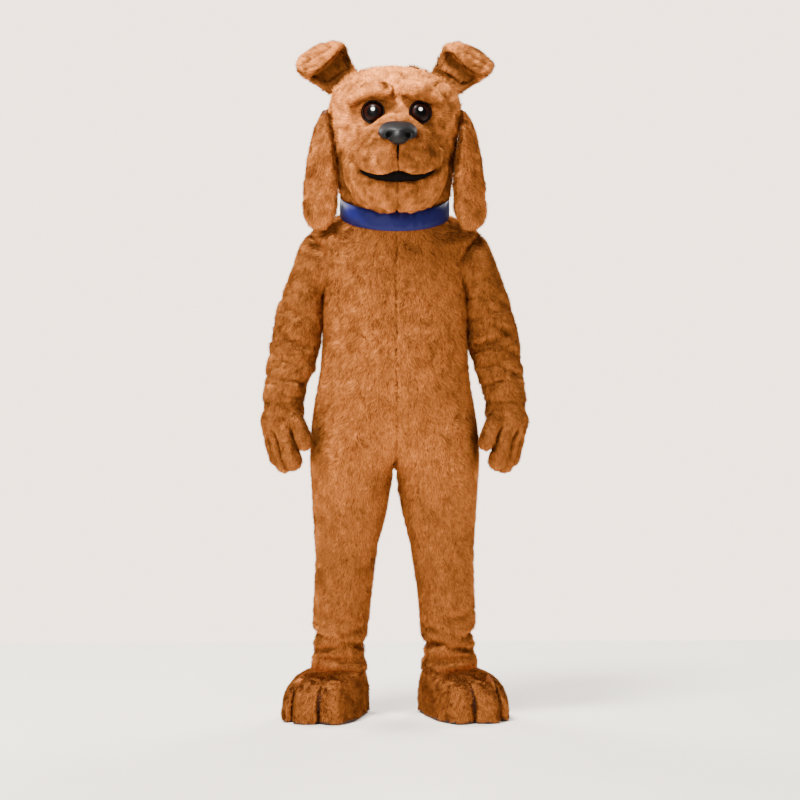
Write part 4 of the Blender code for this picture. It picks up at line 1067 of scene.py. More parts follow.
# %% Sleeves
for side, sign in SIDES:
    node = f"sleeve_{side}"
    skin = relaxed(finer(outer_wall(node), 0.0080), 9, 0.0010)
    places = skin[0]
    turn = round_limb(places, SLEEVE_LINE)
    lower = between(-places[:, 2], 0.10, 0.20)
    depth = 1.35 * creases(places + [0, 0, 0.004 * sign], turn + 12 * sign, ELBOW_CREASES, 61 + sign)
    depth += lower * 0.0045 * rumple(places, (0.060, 0.060, 0.042), 63 + sign)
    depth += 0.0036 * wander(places, 0.045, 64 + sign, 1)[:, 0]
    skin = drawn_in(skin, depth * between(-places[:, 2], 0.03, 0.10))
    inner = between(-sign * skin[1][:, 0], 0.0, 0.5) * hump(skin[0][:, 2] + ELBOW_BELOW, 0.075)
    skin[0][:, 0] -= sign * 0.0080 * inner
    plush_cover(node, skin, 50000, sleeve_comb, seed=70 + sign, free=sleeve_cuff, seam=0.45, tone=sleeve_painted_shade,
                mottle=1.3)

# %% [markdown]
# ## Head
#
# The head is a hollow form covered by three panels: the face and one behind each ear. Its nap starts at the
# nose, so it runs up over the brow, out over the cheeks and then down the back.

# %% Nap of the head, and its sewn rims
NOSE_PLACE = np.array([0.0, -0.24, 0.262])


def head_comb(place, out):
    """Away from the nose, and down at the back."""
    away = unit(place - NOSE_PLACE)
    fall = between(place[:, 1], -0.06, 0.12)[:, None]
    return away * (1 - fall) + arrows(place, 0, 0, -1) * fall + [0, 0, -0.25]


def neck_edge(place):
    return place[:, 2] < 0.12


def rim_tree(*names):
    """A quick finder of the nearest place on the sewn rims of some pieces."""
    return finder(np.concatenate([rim_places(outer_wall(node), 8) for node in names]))


def far_from(tree, places):
    return np.array([tree.find(place)[2] for place in places])


MUZZLE_RIM = rim_tree("muzzle_upper_left", "muzzle_upper_right", "muzzle_lower_left", "muzzle_lower_right")
BROW_RIM = rim_tree("brow_left", "brow_right")
print("from the nose to the brows' rims:", round(BROW_RIM.find(NOSE_PLACE)[2], 3), "m")

# %% [markdown]
# The head's cloth has painted shade where the muzzle stands over it and a little round the brows, is bare under the
# eyes and the collar, and it swells up to meet the brows, which would look stuck on otherwise.


# %% Shade and swell of the head
EYE_APART = 0.069
EYE_LEVEL = 0.336
EYE_CLEAR = 0.0305
BROW_RISE, BROW_ABOVE, BROW_BELOW = 0.0105, 0.026, 0.012
BROW_LINE = [(0.0, 0.396), (0.034, 0.397), (0.066, 0.398), (0.099, 0.386), (0.129, 0.364), (0.160, 0.335)]


def head_painted_shade(place, out):
    """Painted shade where the muzzle stands over the face, and a little round the brows."""
    low = 1 - between(place[:, 2], 0.17, 0.27)
    shade = 1.20 - (0.66 + 0.24 * low) * np.exp(-far_from(MUZZLE_RIM, place) / (0.014 + 0.018 * low))
    return shade * (1 - 0.40 * np.exp(-far_from(BROW_RIM, place) / 0.008))


def head_bare(place):
    """No pile roots under the eyes or under the collar."""
    eye = np.hypot(np.abs(place[:, 0]) - EYE_APART, place[:, 2] - EYE_LEVEL) < EYE_CLEAR
    return eye & (place[:, 1] < 0) | under_collar(place)


def brow_swell(places):
    """How far the forehead rises to meet the brows, so that they grow out of it."""
    near = np.abs(places[:, 0])
    line_x, line_z = np.array(BROW_LINE).T
    above = places[:, 2] - np.interp(near, line_x, line_z)
    front = between(-places[:, 1], 0.03, 0.10) * (1 - between(near, 0.115, 0.150))
    return BROW_RISE * hump(above, np.where(above > 0, BROW_ABOVE, BROW_BELOW)) * front


print("the forehead rises", round(brow_swell(np.array([[0.05, -0.15, 0.40]]))[0] * 1000, 1), "mm at a brow")

# %% [markdown]
# The forehead puckers in short rumples over the brows and on the bridge of the nose, where the fur cloth is glued
# round a tight curve of the foam. The tone of the pile drifts more here than on the suit.

# %% Head panels
for node, count in (("head_face", 70000), ("head_side_left", 34000), ("head_side_right", 34000)):
    skin = relaxed(finer(outer_wall(node), 0.0080), 4, -0.0040)
    places = skin[0]
    depth = 0.0038 * wander(places, 0.026, 81, 1)[:, 0] - brow_swell(places)
    top = between(places[:, 2], 0.392, 0.425) * (1 - between(places[:, 2], 0.455, 0.485))
    depth += 0.0048 * top * between(-places[:, 1], 0.02, 0.08) * rumple(places, (0.046, 0.046, 0.022), 82)
    bridge = np.exp(-(places[:, 0] / 0.030) ** 2 - ((places[:, 2] - 0.375) / 0.030) ** 2)
    depth += 0.0020 * bridge * rumple(places, (0.022, 0.022, 0.018), 84)
    plush_cover(node, drawn_in(skin, depth), count, head_comb, length=0.0145, width=0.0030, seed=83 + len(node),
                free=neck_edge, tone=head_painted_shade, bare=head_bare, grain=CLUMPS, part=0.0, seam=0.25, mottle=2.4)

# %% [markdown]
# ## Muzzle, brows and ears
#
# The muzzle is four stuffed pads: two upper cheeks that meet under the nose, and a lower jaw in two halves. The
# brows are two small rolls. The ears at the top fold over at their tips, and the long ones at the sides hang flat
# and are sewn up along the edge that faces forward.


# %% Nap of the pads and ears, and stuffing
def muzzle_comb(place, out):
    return unit(place - NOSE_PLACE) + [0, 0, -0.35]


def brow_comb(place, out):
    return arrows(place, np.sign(place[:, 0]), 0, 0.25)


def hang_comb(place, out):
    return arrows(place, 0, 0, -1)


def top_ear_comb(place, out):
    """Up the ear and outward, and down its flap."""
    return arrows(place, np.sign(place[:, 0]), 0, 0.6 - 6.0 * np.clip(np.abs(place[:, 0]) - 0.19, 0, 0.3))


def puffed(skin, much, reach):
    """The skin pushed out away from its sewn rim, as stuffing does."""
    points, normals, tris = skin
    gap, _ = seam_gap(skin, points, None)
    points = points + normals * (much * (1 - np.exp(-gap / reach)))[:, None]
    return points, point_normals(points, tris), tris


def plush_pad(node, blades, comb, shape, whole=False, fine=0.0085, **words):
    """A stuffed piece with its pile; shape turns the solid's outer wall into the skin."""
    plush_cover(node, shape(finer(outer_wall(node, whole), fine)), blades, comb, stuffed=True, **words)


print("pile on a hanging ear points", hang_comb(np.zeros((1, 3)), None)[0].tolist())

# %% [markdown]
# The mouth is a wide, shallow smile. The two lips are held clear of its opening, so that black shows from corner
# to corner, and their pile is short there.


# %% Lips
MOUTH_HALF = 0.112
LIP_MIDDLE, LIP_LOWEST_AT, LIP_DIP, LIP_RISE = 0.155, 0.043, 0.0115, 0.0235
CHIN_MIDDLE, CHIN_RISE = 0.131, 0.036
LIP_SOFT = 0.0012


def lip_line_height(near):
    """The upper lips' edge at a distance from the middle: highest there and at the corners."""
    start = np.clip(near / LIP_LOWEST_AT, 0, 1)
    rising = np.clip((near - LIP_LOWEST_AT) / (MOUTH_HALF - LIP_LOWEST_AT), 0, 1)
    return LIP_MIDDLE - LIP_DIP * (3 * start ** 2 - 2 * start ** 3) + LIP_RISE * rising ** 2


def chin_line_height(near):
    """The lower lip's edge at a distance from the middle: rising to the corners."""
    return CHIN_MIDDLE + CHIN_RISE * (near / MOUTH_HALF) ** 3


def kept_over(heights, level):
    """Heights held above a level, turning over softly."""
    return level + LIP_SOFT * np.logaddexp(0, (heights - level) / LIP_SOFT)


def mouth_opened(skin, upper):
    """A lip held clear of the opening, so that the mouth shows from corner to corner."""
    points, normals, tris = skin
    points = points.copy()
    near = np.abs(points[:, 0])
    inside = np.clip(1 - (near / 0.128) ** 6, 0, 1)
    if upper:
        held = kept_over(points[:, 2], lip_line_height(near) + 0.0032)
    else:
        held = -kept_over(-points[:, 2], 0.0016 - chin_line_height(near))
    points[:, 2] += inside * (held - points[:, 2])
    return points, normals, tris


def lip_trim(place):
    """Short pile along the lips."""
    near = np.abs(place[:, 0])
    off = np.minimum(np.abs(place[:, 2] - lip_line_height(near)), np.abs(place[:, 2] - chin_line_height(near)))
    return 1 - 0.62 * hump(off, 0.009) * (near < MOUTH_HALF)


print("the mouth is open", round((lip_line_height(0.0) - chin_line_height(0.0)) * 1000, 1), "mm in the middle")

# %% [markdown]
# The upper pads meet under the nose and the lower ones at the chin, so their inner edges are stretched to close the
# gap between them. Stuffing pushes each pad out a little away from its seams.


# %% Shape and shade of the muzzle
def closed_up(skin):
    """The inner edge stretched towards the middle of the body: a narrow gap, and none over the nose."""
    points, normals, tris = skin
    points = points.copy()
    near = np.abs(points[:, 0])
    much = 0.0022 + 0.0034 * between(points[:, 2], 0.272, 0.292)
    points[:, 0] = np.sign(points[:, 0]) * (near - much * np.exp(-near / 0.006))
    return points, normals, tris


def over_nose(place):
    """The upper pads' edge under the nose, which the nose covers."""
    return (place[:, 2] > 0.280) & (np.abs(place[:, 0]) < 0.02)


def muzzle_painted_shade(place, out):
    """A little darker all over, with painted shade at the corners of the mouth."""
    corner = np.hypot(np.abs(place[:, 0]) - MOUTH_HALF, place[:, 2] - 0.167)
    return 0.87 - 0.30 * hump(corner, 0.014)


def muzzle_shape(skin, upper=True):
    skin = dimpled(closed_up(puffed(relaxed(skin, 4), 0.0060, 0.007)), 0.0034, 0.024, 92)
    skin[0][:, 0] *= 1 - 0.060 * between(np.abs(skin[0][:, 0]), 0.095, 0.150)
    return mouth_opened(skin, upper)


def jaw_shape(skin):
    return muzzle_shape(skin, False)


print("shade of the muzzle's front:", muzzle_painted_shade(np.array([[0.0, -0.3, 0.2]]), None).round(2))

# %% [markdown]
# A brow gets painted light on top and painted shade below, where it hangs over the eye. A folded ear gets painted
# shade in the hollow under its flap, and soft creases run across the fold, where the doubled cloth gives way.


# %% Shape and shade of the brows and ears
def brow_painted_light(place, out):
    """Painted light on top, and painted shade under the edge that overhangs the eye."""
    return 1.20 - 0.34 * between(-out[:, 2], 0.15, 0.85)


def brow_shape(skin):
    return dimpled(puffed(relaxed(skin, 2), 0.0085, 0.006), 0.0020, 0.022, 93)


FLAP_EDGE = [(0.10, 0.570), (0.150, 0.541), (0.1655, 0.518), (0.2025, 0.4836), (0.245, 0.452), (0.27, 0.435),
             (0.30, 0.42)]


def top_ear_painted_shade(place, out):
    """Painted shade in the hollow of the ear, under the edge of its flap."""
    edge_x, edge_z = np.array(FLAP_EDGE).T
    below = np.interp(np.abs(place[:, 0]), edge_x, edge_z) - place[:, 2]
    dark = 0.34 + 0.22 * np.exp(-np.clip(below, 0, 1) / 0.022)
    return 0.92 - dark * between(below, -0.004, 0.006) * between(-out[:, 1], -0.35, 0.05)


def line_groove(places, start, end, wide):
    """1 on a line between two points of the front view, as (distance from the middle, height), 0 away."""
    start, end = np.array(start), np.array(end)
    flat = np.stack((np.abs(places[:, 0]), places[:, 2]), axis=1)
    along = np.clip(((flat - start) @ (end - start)) / ((end - start) @ (end - start)), 0, 1)
    off = np.linalg.norm(flat - start - along[:, None] * (end - start), axis=1)
    return hump(off, wide)


def folded_down(points):
    """The top of an ear brought down a little, where its fold is rounder."""
    return points - [0, 0, 0.0055] * between(points[:, 2], 0.43, 0.50)[:, None]


def top_ear_shape(skin):
    """A lower, rounder fold, with a crease along the flap and soft ones in the hollow."""
    points, normals, tris = relaxed(skin, 8, -0.0020)
    places = folded_down(points)
    front = between(-point_normals(places, tris)[:, 1], 0.0, 0.4)
    depth = 0.0070 * line_groove(places, (0.272, 0.484), (0.182, 0.541), 0.0065)
    depth += 0.0045 * line_groove(places, (0.268, 0.466), (0.228, 0.484), 0.0060)
    depth += 0.0050 * line_groove(places, (0.150, 0.470), (0.205, 0.445), 0.0080)
    depth += 0.0045 * line_groove(places, (0.165, 0.500), (0.155, 0.440), 0.0080)
    return dimpled(drawn_in((places, normals, tris), depth * front), 0.0018, 0.032, 94)


def side_ear_shape(skin):
    return dimpled(relaxed(skin, 6, -0.0010), 0.0024, 0.035, 95)


print("the flap's lowest point is at", min(FLAP_EDGE, key=lambda place: place[1]))

# %% [markdown]
# The pile of the muzzle is shorter than the suit's, as it is clipped so that the lips stay clear. A folded ear is
# a doubled cloth, so its whole solid is covered, front and back.

# %% Pads, brows and ears
short = {"length": 0.0120, "width": 0.0027, "under": 0.0038, "root": 0.0034, "part": 0.0, "seam": 0.40,
         "grain": CLUMPS, "trim": lip_trim, "mottle": 2.4, "tone": muzzle_painted_shade}
for side, sign in SIDES:
    plush_pad(f"muzzle_upper_{side}", 22000, muzzle_comb, muzzle_shape, seed=121 + sign, free=over_nose, **short)
    plush_pad(f"muzzle_lower_{side}", 15000, muzzle_comb, jaw_shape, seed=125 + sign, **short)
    plush_pad(f"brow_{side}", 6000, brow_comb, brow_shape, fine=0.0055, under=0.0030, root=0.0026,
              length=0.0130, width=0.0027, seed=130 + sign, part=0.0, seam=0.3, grain=CLUMPS, mottle=2.0,
              tone=brow_painted_light)
    plush_pad(f"ear_top_{side}", 20000, top_ear_comb, top_ear_shape, whole=True, under=0.0040, root=0.0036,
              length=0.0155, width=0.0029, seed=140 + sign, tone=top_ear_painted_shade, grain=CLUMPS, mottle=2.4)
    plush_pad(f"ear_side_outer_{side}", 15000, hang_comb, side_ear_shape, seed=150 + sign, seam=0.4, mottle=1.5)
    plush_pad(f"ear_side_inner_{side}", 11000, hang_comb, side_ear_shape, seed=160 + sign, seam=0.4, mottle=1.5)

# %% [markdown]
# ## Gloves and feet
#
# The gloves have a thumb and three fingers and are hollow cloth. The feet are oversized shoes padded with foam,
# with the toes drawn in by stitched grooves, on thin rubber soles.


# %% Toes
TOE_OUT = math.radians(15.4)
FOOT_MIDDLE = (0.190, 0.040)
TOE_GROOVES = ((-0.021, 1.0), (0.061, 0.8))
VALLEY_FILL = (0.0088, 0.0024)
GROOVE_DEEP, GROOVE_WIDE, VALLEY_WIDE = 0.0070, 0.0028, 0.0072


def across_foot(places):
    """How far outward a place lies from the foot's own middle line, which turns out at the toes."""
    return ((np.abs(places[:, 0]) - FOOT_MIDDLE[0]) * math.cos(TOE_OUT)
            + (places[:, 1] - FOOT_MIDDLE[1]) * math.sin(TOE_OUT))


def groove_gap(places):
    """How far a place lies from the nearest groove between the toes."""
    return np.min([np.abs(across_foot(places) - groove) for groove, _ in TOE_GROOVES], axis=0)


def foot_limit(middle):
    """Finer cloth at the toes, and finest along the grooves."""
    return np.where(middle[:, 1] > -0.07, 0.0095, np.where(groove_gap(middle) < 0.008, 0.0036, 0.0062))


def toe_front(places):
    return between(-places[:, 1], 0.070, 0.110) * between(FLOOR + 0.128 - places[:, 2], 0.0, 0.030)


def toe_grooves(skin):
    """Thin stitched grooves down the front of a foot, between toes that bulge up to them."""
    places = skin[0]
    depth = np.zeros(len(places))
    for (middle, share), fill in zip(TOE_GROOVES, VALLEY_FILL):
        off = across_foot(places) - middle
        depth += share * GROOVE_DEEP * hump(off, GROOVE_WIDE) - fill * hump(off, VALLEY_WIDE)
    return drawn_in(skin, depth * toe_front(places))


print("the grooves between the toes are", TOE_GROOVES[1][0] - TOE_GROOVES[0][0], "m from each other")

# %% [markdown]
# Painted shade darkens the grooves and the low part of the foot, which is paler up at the instep. The backing is
# painted dark in the grooves too, because it shows between the blades where the cloth bends so sharply.


# %% Nap and shade of the feet
FOOT_FOAM = 0.009


def foot_comb(place, out):
    """Forward and down over the toes, and to both sides of the foot."""
    return arrows(place, (np.abs(place[:, 0]) - 0.2) * 3 * np.sign(place[:, 0]), -0.8, -0.75)


def foot_trim(place):
    """Shorter pile along the grooves."""
    return 1 - 0.35 * hump(groove_gap(place), 0.003) * toe_front(place)


def paint_groove_shade(thing):
    """Numbers on the foot's cloth that paint shade on it along the grooves between the toes."""
    places = np.zeros(3 * len(thing.data.vertices))
    thing.data.vertices.foreach_get("co", places)
    places = places.reshape(-1, 3)
    deep = hump(groove_gap(places), 0.011) * np.sqrt(np.clip(toe_front(places), 0, 1))
    thing.data.attributes.new("groove", "FLOAT", "POINT").data.foreach_set("value", deep.astype(np.float32))


def foot_painted_shade(place, out):
    """Painted shade in the grooves and low on the foot, which is paler up at the instep."""
    shade = np.ones(len(place))
    for middle, share in TOE_GROOVES:
        shade -= share * 0.62 * hump(across_foot(place) - middle, 0.0030) * toe_front(place)
    return shade * (0.76 + 0.34 * between(place[:, 2], FLOOR + 0.095, FLOOR + 0.130))


print("a foot's foam is", FOOT_FOAM * 1000, "mm thick")

# %% [markdown]
# A glove's fingers are hollow tubes of cloth that lie against each other. Each is known here by the line down its
# middle and its two widths, so that the valley between the two nearest ones can be drawn in and given painted shade.


# %% Fingers
DIGITS = [
    ((0.292, -0.058, -0.550), (0.2660, -0.080, -0.6180), 0.026, 0.0240),
    ((0.322, -0.054, -0.590), (0.3000, -0.070, -0.6730), 0.028, 0.0285),
    ((0.348, -0.030, -0.592), (0.3240, -0.036, -0.6800), 0.028, 0.0280),
    ((0.364, -0.002, -0.588), (0.3470, -0.002, -0.6660), 0.026, 0.0250),
]


def between_digits(places, wide):
    """1 in the valleys between a glove's thumb and fingers, 0 on the fingers and the palm."""
    mirrored = np.array(places, float)
    mirrored[:, 0] = np.abs(mirrored[:, 0])
    gaps = []
    for root, tip, thick, thin in DIGITS:
        root, tip = np.array(root), np.array(tip)
        share = np.clip(((mirrored - root) @ (tip - root)) / ((tip - root) @ (tip - root)), 0, 1)
        away = np.linalg.norm(mirrored - root - share[:, None] * (tip - root), axis=1)
        gaps.append(away - thick - (thin - thick) * share)
    first, second = np.sort(np.array(gaps), axis=0)[:2]
    return hump(second - first, wide) * between(-places[:, 2], 0.562, 0.590)


def glove_comb(place, out):
    return arrows(place, np.sign(place[:, 0]) * 0.15, 0, -1)


def glove_cuff(place):
    return place[:, 2] > -0.52


# A little darker all over, with painted shade under the sleeve's cuff and in the valleys between the fingers.
def glove_painted_shade(place, out):
    cuff = between(place[:, 2], -0.512, -0.496)
    return (0.73 - 0.26 * cuff) * (1 - 0.55 * between_digits(place, 0.0040))


print("fingers and thumb on a glove:", len(DIGITS))

# %% [markdown]
# A glove's cuff goes loose into the sleeve, so its pile isn't parted there as at a seam. A foot has a thick layer of
# foam under its fur cloth, and gets finer triangles than the rest where the toes meet.

# %% Gloves and feet
for side, sign in SIDES:
    node = f"glove_{side}"
    skin = relaxed(finer(outer_wall(node), 0.0055), 3)
    depth = 0.0012 * wander(skin[0], 0.03, 171, 1)[:, 0] + 0.0085 * between_digits(skin[0], 0.0065)
    plush_cover(node, drawn_in(skin, depth), 22000, glove_comb, under=0.0044, length=0.0115, width=0.0028,
                root=0.0040, seed=172 + sign, tone=glove_painted_shade, grain=ROUND, free=glove_cuff)
    node = f"foot_{side}"
    skin = toe_grooves(dimpled(relaxed(finer(outer_wall(node), foot_limit), 6), 0.0016, 0.03, 181))
    plush_cover(node, skin, 32000, foot_comb, under=0.0054, thick=FOOT_FOAM, length=0.0122, width=0.0029,
                root=0.0042, trim=foot_trim, seed=182 + sign, part=0.0, seam=0.4, tone=foot_painted_shade, grain=ROUND,
                mottle=0.6)
    paint_groove_shade(plush_cloths[node])

# %% [markdown]
# ## Hard and smooth pieces
#
# The eyes and nose are moulded and stand out because nothing else shines. The solids of the eyes are already the
# right size, so each is copied, its triangles are joined back into four-sided faces and a subdivision surface
# rounds it.


# %% Rounded copies of solids
JOIN_UNDER = 0.9


def rounded(name, node, levels, finish):
    """A smooth copy of a small solid that stands in its place."""
    data = bpy.data.meshes.new(name)
    mesh = bmesh.new()
    mesh.from_mesh(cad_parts[node].data)
    bmesh.ops.remove_doubles(mesh, verts=mesh.verts, dist=WELD)
    bmesh.ops.join_triangles(mesh, faces=mesh.faces, angle_face_threshold=JOIN_UNDER,
                             angle_shape_threshold=JOIN_UNDER)
    mesh.to_mesh(data)
    mesh.free()
    thing = bpy.data.objects.new(name, data)
    bpy.context.scene.collection.objects.link(thing)
    smooth = thing.modifiers.new("round", "SUBSURF")
    smooth.levels = levels
    smooth.render_levels = levels
    bpy.context.view_layer.update()
    shaped = bpy.data.meshes.new_from_object(thing.evaluated_get(bpy.context.evaluated_depsgraph_get()))
    thing.modifiers.clear()
    thing.data = shaped
    shaped.polygons.foreach_set("use_smooth", np.full(len(shaped.polygons), True))
    thing.data.materials.clear()
    return dressed(thing, finish, node)


def off_feature(nodes, links, aside, up):
    """How far aside of a feature of the face, or of its mirror image, a place lies, and how far above."""
    where = nodes.new("ShaderNodeTexCoord")
    parts = nodes.new("ShaderNodeSeparateXYZ")
    links.new(where.outputs["Object"], parts.inputs[0])
    from_middle = math_node(nodes, links, "ABSOLUTE", parts.outputs["X"], None)
    return (math_node(nodes, links, "SUBTRACT", from_middle, aside),
            math_node(nodes, links, "SUBTRACT", parts.outputs["Z"], up))


print("an eye is", EYE_APART, "m from the middle, its centre", EYE_LEVEL, "m up")

# %% [markdown]
# An eye is a black dome with a deep brown ring, and a round white glint above its middle, a painted highlight. Ring
# and glint are colours by the distance from a point of the eye's face, so they stay in place from all sides.


# %% Eye finish
EYE_RADIUS = 0.030
GLINT_ABOVE, GLINT_RADIUS = 0.0072, 0.0115
BLACK, WHITE = (0, 0, 0, 1), (1, 1, 1, 1)
eye_finish, nodes, links, shader = finish_of("eye glass", 0.30, Specular_IOR_Level=0.10)
side_off, up_off = off_feature(nodes, links, EYE_APART, EYE_LEVEL)


def ring_distance(above, radius):
    """Distance on the eye's face from a point above its centre, as a share of a radius."""
    flat = nodes.new("ShaderNodeCombineXYZ")
    links.new(side_off, flat.inputs["X"])
    links.new(math_node(nodes, links, "SUBTRACT", up_off, above), flat.inputs["Z"])
    length = nodes.new("ShaderNodeVectorMath")
    length.operation = "LENGTH"
    links.new(flat.outputs[0], length.inputs[0])
    return math_node(nodes, links, "MULTIPLY", length.outputs["Value"], 1 / radius)


def ramp_node(value, stops):
    """A colour for each value, blended from the two stops beside it."""
    ramp = nodes.new("ShaderNodeValToRGB")
    ramp.color_ramp.elements[0].position = stops[0][0]
    ramp.color_ramp.elements[0].color = stops[0][1]
    ramp.color_ramp.elements[1].position = stops[-1][0]
    ramp.color_ramp.elements[1].color = stops[-1][1]
    for place, colour in stops[1:-1]:
        ramp.color_ramp.elements.new(place).color = colour
    links.new(value, ramp.inputs["Fac"])
    return ramp.outputs["Color"]


rings = ramp_node(ring_distance(0.0, EYE_RADIUS),
                  [(0.0, linear(4, 3, 4)), (0.48, linear(5, 4, 5)), (0.60, linear(33, 11, 7)),
                   (0.74, linear(40, 14, 9)), (0.86, linear(13, 5, 4)), (1.0, linear(5, 3, 3))])
# The glint is a painted highlight.
glint = ramp_node(ring_distance(GLINT_ABOVE, GLINT_RADIUS),
                  [(0.0, WHITE), (0.36, WHITE), (0.54, BLACK), (1.0, BLACK)])
links.new(mix_node(nodes, links, 1.0, rings, glint, "ADD"), shader.inputs["Base Color"])
print("the eye's ring is", EYE_RADIUS * 1000, "mm in radius")

# %% [markdown]
# The nose is one black casting with a pebbled skin. Its nostrils are matt and painted darker, a painted shade for
# the light that falls in and stays there.

# %% Nose finish
NOSTRIL = (0.0262, 0.2535)
NOSTRIL_SPREAD = 0.000060
nose_finish, nodes, links, shader = finish_of("nose moulding", 0.45, Specular_IOR_Level=0.26)
aside, upward = off_feature(nodes, links, *NOSTRIL)
spread = math_node(nodes, links, "ADD", math_node(nodes, links, "MULTIPLY", aside, aside),
                   math_node(nodes, links, "MULTIPLY", upward, upward))
# 0 in a nostril, where the colour is painted black as shade and the skin is matt; 1 on the skin.
open_skin = times_plus(nodes, links, spread, 1 / NOSTRIL_SPREAD, -0.90)
open_skin.node.use_clamp = True
skin_colour = grained(nodes, links, shader, linear(7, 7, 9), linear(16, 17, 20), 420.0, 3.0, (0.25, 0.0006))
links.new(mix_node(nodes, links, open_skin, linear(1, 1, 1), skin_colour), shader.inputs["Base Color"])
links.new(times_plus(nodes, links, open_skin, -0.45, 1.0), shader.inputs["Roughness"])
print("nose finish:", len(nodes), "nodes")

# %% [markdown]
# The eyes' rims, the black cloth of the mouth and the soles' rubber are plain dark materials that differ in their
# grain. The eyes and their rims are let out a little, so that they show over the pile.


# %% Rim, mouth and rubber finishes, and the eyes
EYE_GROWN = 1.07


def plain_grain(name, dark, pale, rough, size, **fixed):
    """A finish with nothing but the grain."""
    made, nodes, links, shader = finish_of(name, rough, **fixed)
    links.new(grained(nodes, links, shader, dark, pale, size), shader.inputs["Base Color"])
    return made


rim_finish = plain_grain("eye rim", linear(10, 6, 5), linear(24, 13, 10), 0.5, 300.0, Specular_IOR_Level=0.2)
mouth_finish = plain_grain("mouth cloth", linear(8, 6, 6), linear(20, 15, 14), 0.9, 700.0, Specular_IOR_Level=0.1)
rubber_finish = plain_grain("sole rubber", linear(14, 12, 12), linear(30, 27, 26), 0.7, 260.0)


def grown(thing, middle, share):
    """Widens a piece in the front view about a point."""
    for corner in thing.data.vertices:
        corner.co.x = middle[0] + (corner.co.x - middle[0]) * share
        corner.co.z = middle[1] + (corner.co.z - middle[1]) * share


for side, sign in SIDES:
    middle = (sign * EYE_APART, EYE_LEVEL)
    grown(rounded(f"eye_{side}_dome", f"eye_{side}", 2, eye_finish), middle, EYE_GROWN)
    grown(rounded(f"eye_rim_{side}_ring", f"eye_rim_{side}", 2, rim_finish), middle, EYE_GROWN)
rounded("lip_line_cord", "lip_line", 1, mouth_finish)
print("eyes, rims and lip line rounded")

# %% [markdown]
# The nose's block is soft at its edges and narrower below. The nostrils are pressed into its front.


# %% Nose
LOBES_OVER = 0.2465
NOSTRIL_SLOT = (0.0310, 0.2455)


def nose_shape(skin):
    """A rounded block, drawn in below its side lobes, with a deep dent for each nostril."""
    points, normals, tris = relaxed(skin, 3, 0.0010)
    points = points.copy()
    near = np.abs(points[:, 0])
    narrow = between(LOBES_OVER - points[:, 2], 0.0, 0.0050)
    points[:, 0] *= 1 - 0.27 * narrow
    off = np.hypot((near - NOSTRIL[0]) / 0.0080, (points[:, 2] - NOSTRIL[1]) / 0.0090)
    slot_off = np.hypot((near - NOSTRIL_SLOT[0]) / 0.0060, (points[:, 2] - NOSTRIL_SLOT[1]) / 0.0060)
    dent = 0.0110 * np.exp(-off ** 4) + 0.0070 * np.exp(-slot_off ** 2)
    points[:, 1] += dent * between(-normals[:, 1], 0.1, 0.5)
    return points, point_normals(points, tris), tris


points, normals, tris = nose_shape(finer(outer_wall("nose", whole=True), 0.0026))
dressed(mesh_of("nose_dome", points, tris), nose_finish, "nose")
print("nose", len(tris), "triangles")

# %% [markdown]
# ## Mouth, collar, ear linings and soles
#
# The mouth shows a strip of black cloth, sewn in behind the lips. It is a grid of points that follows both lips'
# edges and reaches a little past them, bowed towards the front.

# %% Mouth lining
MOUTH_COLUMNS, MOUTH_ROWS = 33, 7
MOUTH_SIDE = 0.113
BEHIND_EDGE = 0.010
BEHIND_LIPS = [(0.0, -0.2680), (0.025, -0.2655), (0.045, -0.2610), (0.065, -0.2545), (0.085, -0.2445),
               (0.098, -0.2345), (0.113, -0.2190)]
rows = []
for across in np.linspace(-MOUTH_SIDE, MOUTH_SIDE, MOUTH_COLUMNS):
    front = np.interp(abs(across), *np.array(BEHIND_LIPS).T)
    low, high = chin_line_height(abs(across)) - BEHIND_EDGE, lip_line_height(abs(across)) + BEHIND_EDGE
    for share in np.linspace(0, 1, MOUTH_ROWS):
        rows.append((across, front + 0.010 * abs(2 * share - 1) ** 3, low + (high - low) * share))
number = np.arange(MOUTH_COLUMNS * MOUTH_ROWS).reshape(MOUTH_COLUMNS, MOUTH_ROWS)
a, b, c, d = (block.ravel() for block in (number[:-1, :-1], number[1:, :-1], number[1:, 1:], number[:-1, 1:]))
tris = np.concatenate((np.stack((a, b, c), 1), np.stack((a, c, d), 1)))
points = np.array(rows)
mouth_cloth = cloth("mouth_lining_cloth", (points, point_normals(points, tris), tris), 0.0, 0.0020)
dressed(mouth_cloth, mouth_finish, "mouth_lining")
print("mouth lining", len(tris), "triangles on each face")

# %% [markdown]
# The collar is a stiffened satin band with a turned edge. Satin is woven so that long threads float on its face,
# which is why it shines across and not along them. Its threads here are a noise drawn out along the band.

# %% Satin collar
THREADS, PATCHES = 500.0, 9.0
collar_finish, nodes, links, shader = finish_of("collar satin", 0.50, Specular_IOR_Level=0.16)
where = nodes.new("ShaderNodeTexCoord")
stretch = nodes.new("ShaderNodeMapping")
stretch.inputs["Scale"].default_value = (1.0, 1.0, 6.0)
links.new(where.outputs["Object"], stretch.inputs["Vector"])
thread = nodes.new("ShaderNodeTexNoise")
thread.inputs["Scale"].default_value = THREADS
links.new(stretch.outputs[0], thread.inputs["Vector"])
broad = nodes.new("ShaderNodeTexNoise")
broad.inputs["Scale"].default_value = PATCHES
links.new(where.outputs["Object"], broad.inputs["Vector"])
woven = mix_node(nodes, links, thread.outputs["Fac"], linear(19, 21, 80), linear(31, 34, 106))
links.new(mix_node(nodes, links, math_node(nodes, links, "MULTIPLY", broad.outputs["Fac"], 0.5), woven,
                   linear(15, 16, 60)), shader.inputs["Base Color"])
raised(nodes, links, shader, thread.outputs["Fac"], 0.25, 0.0004)

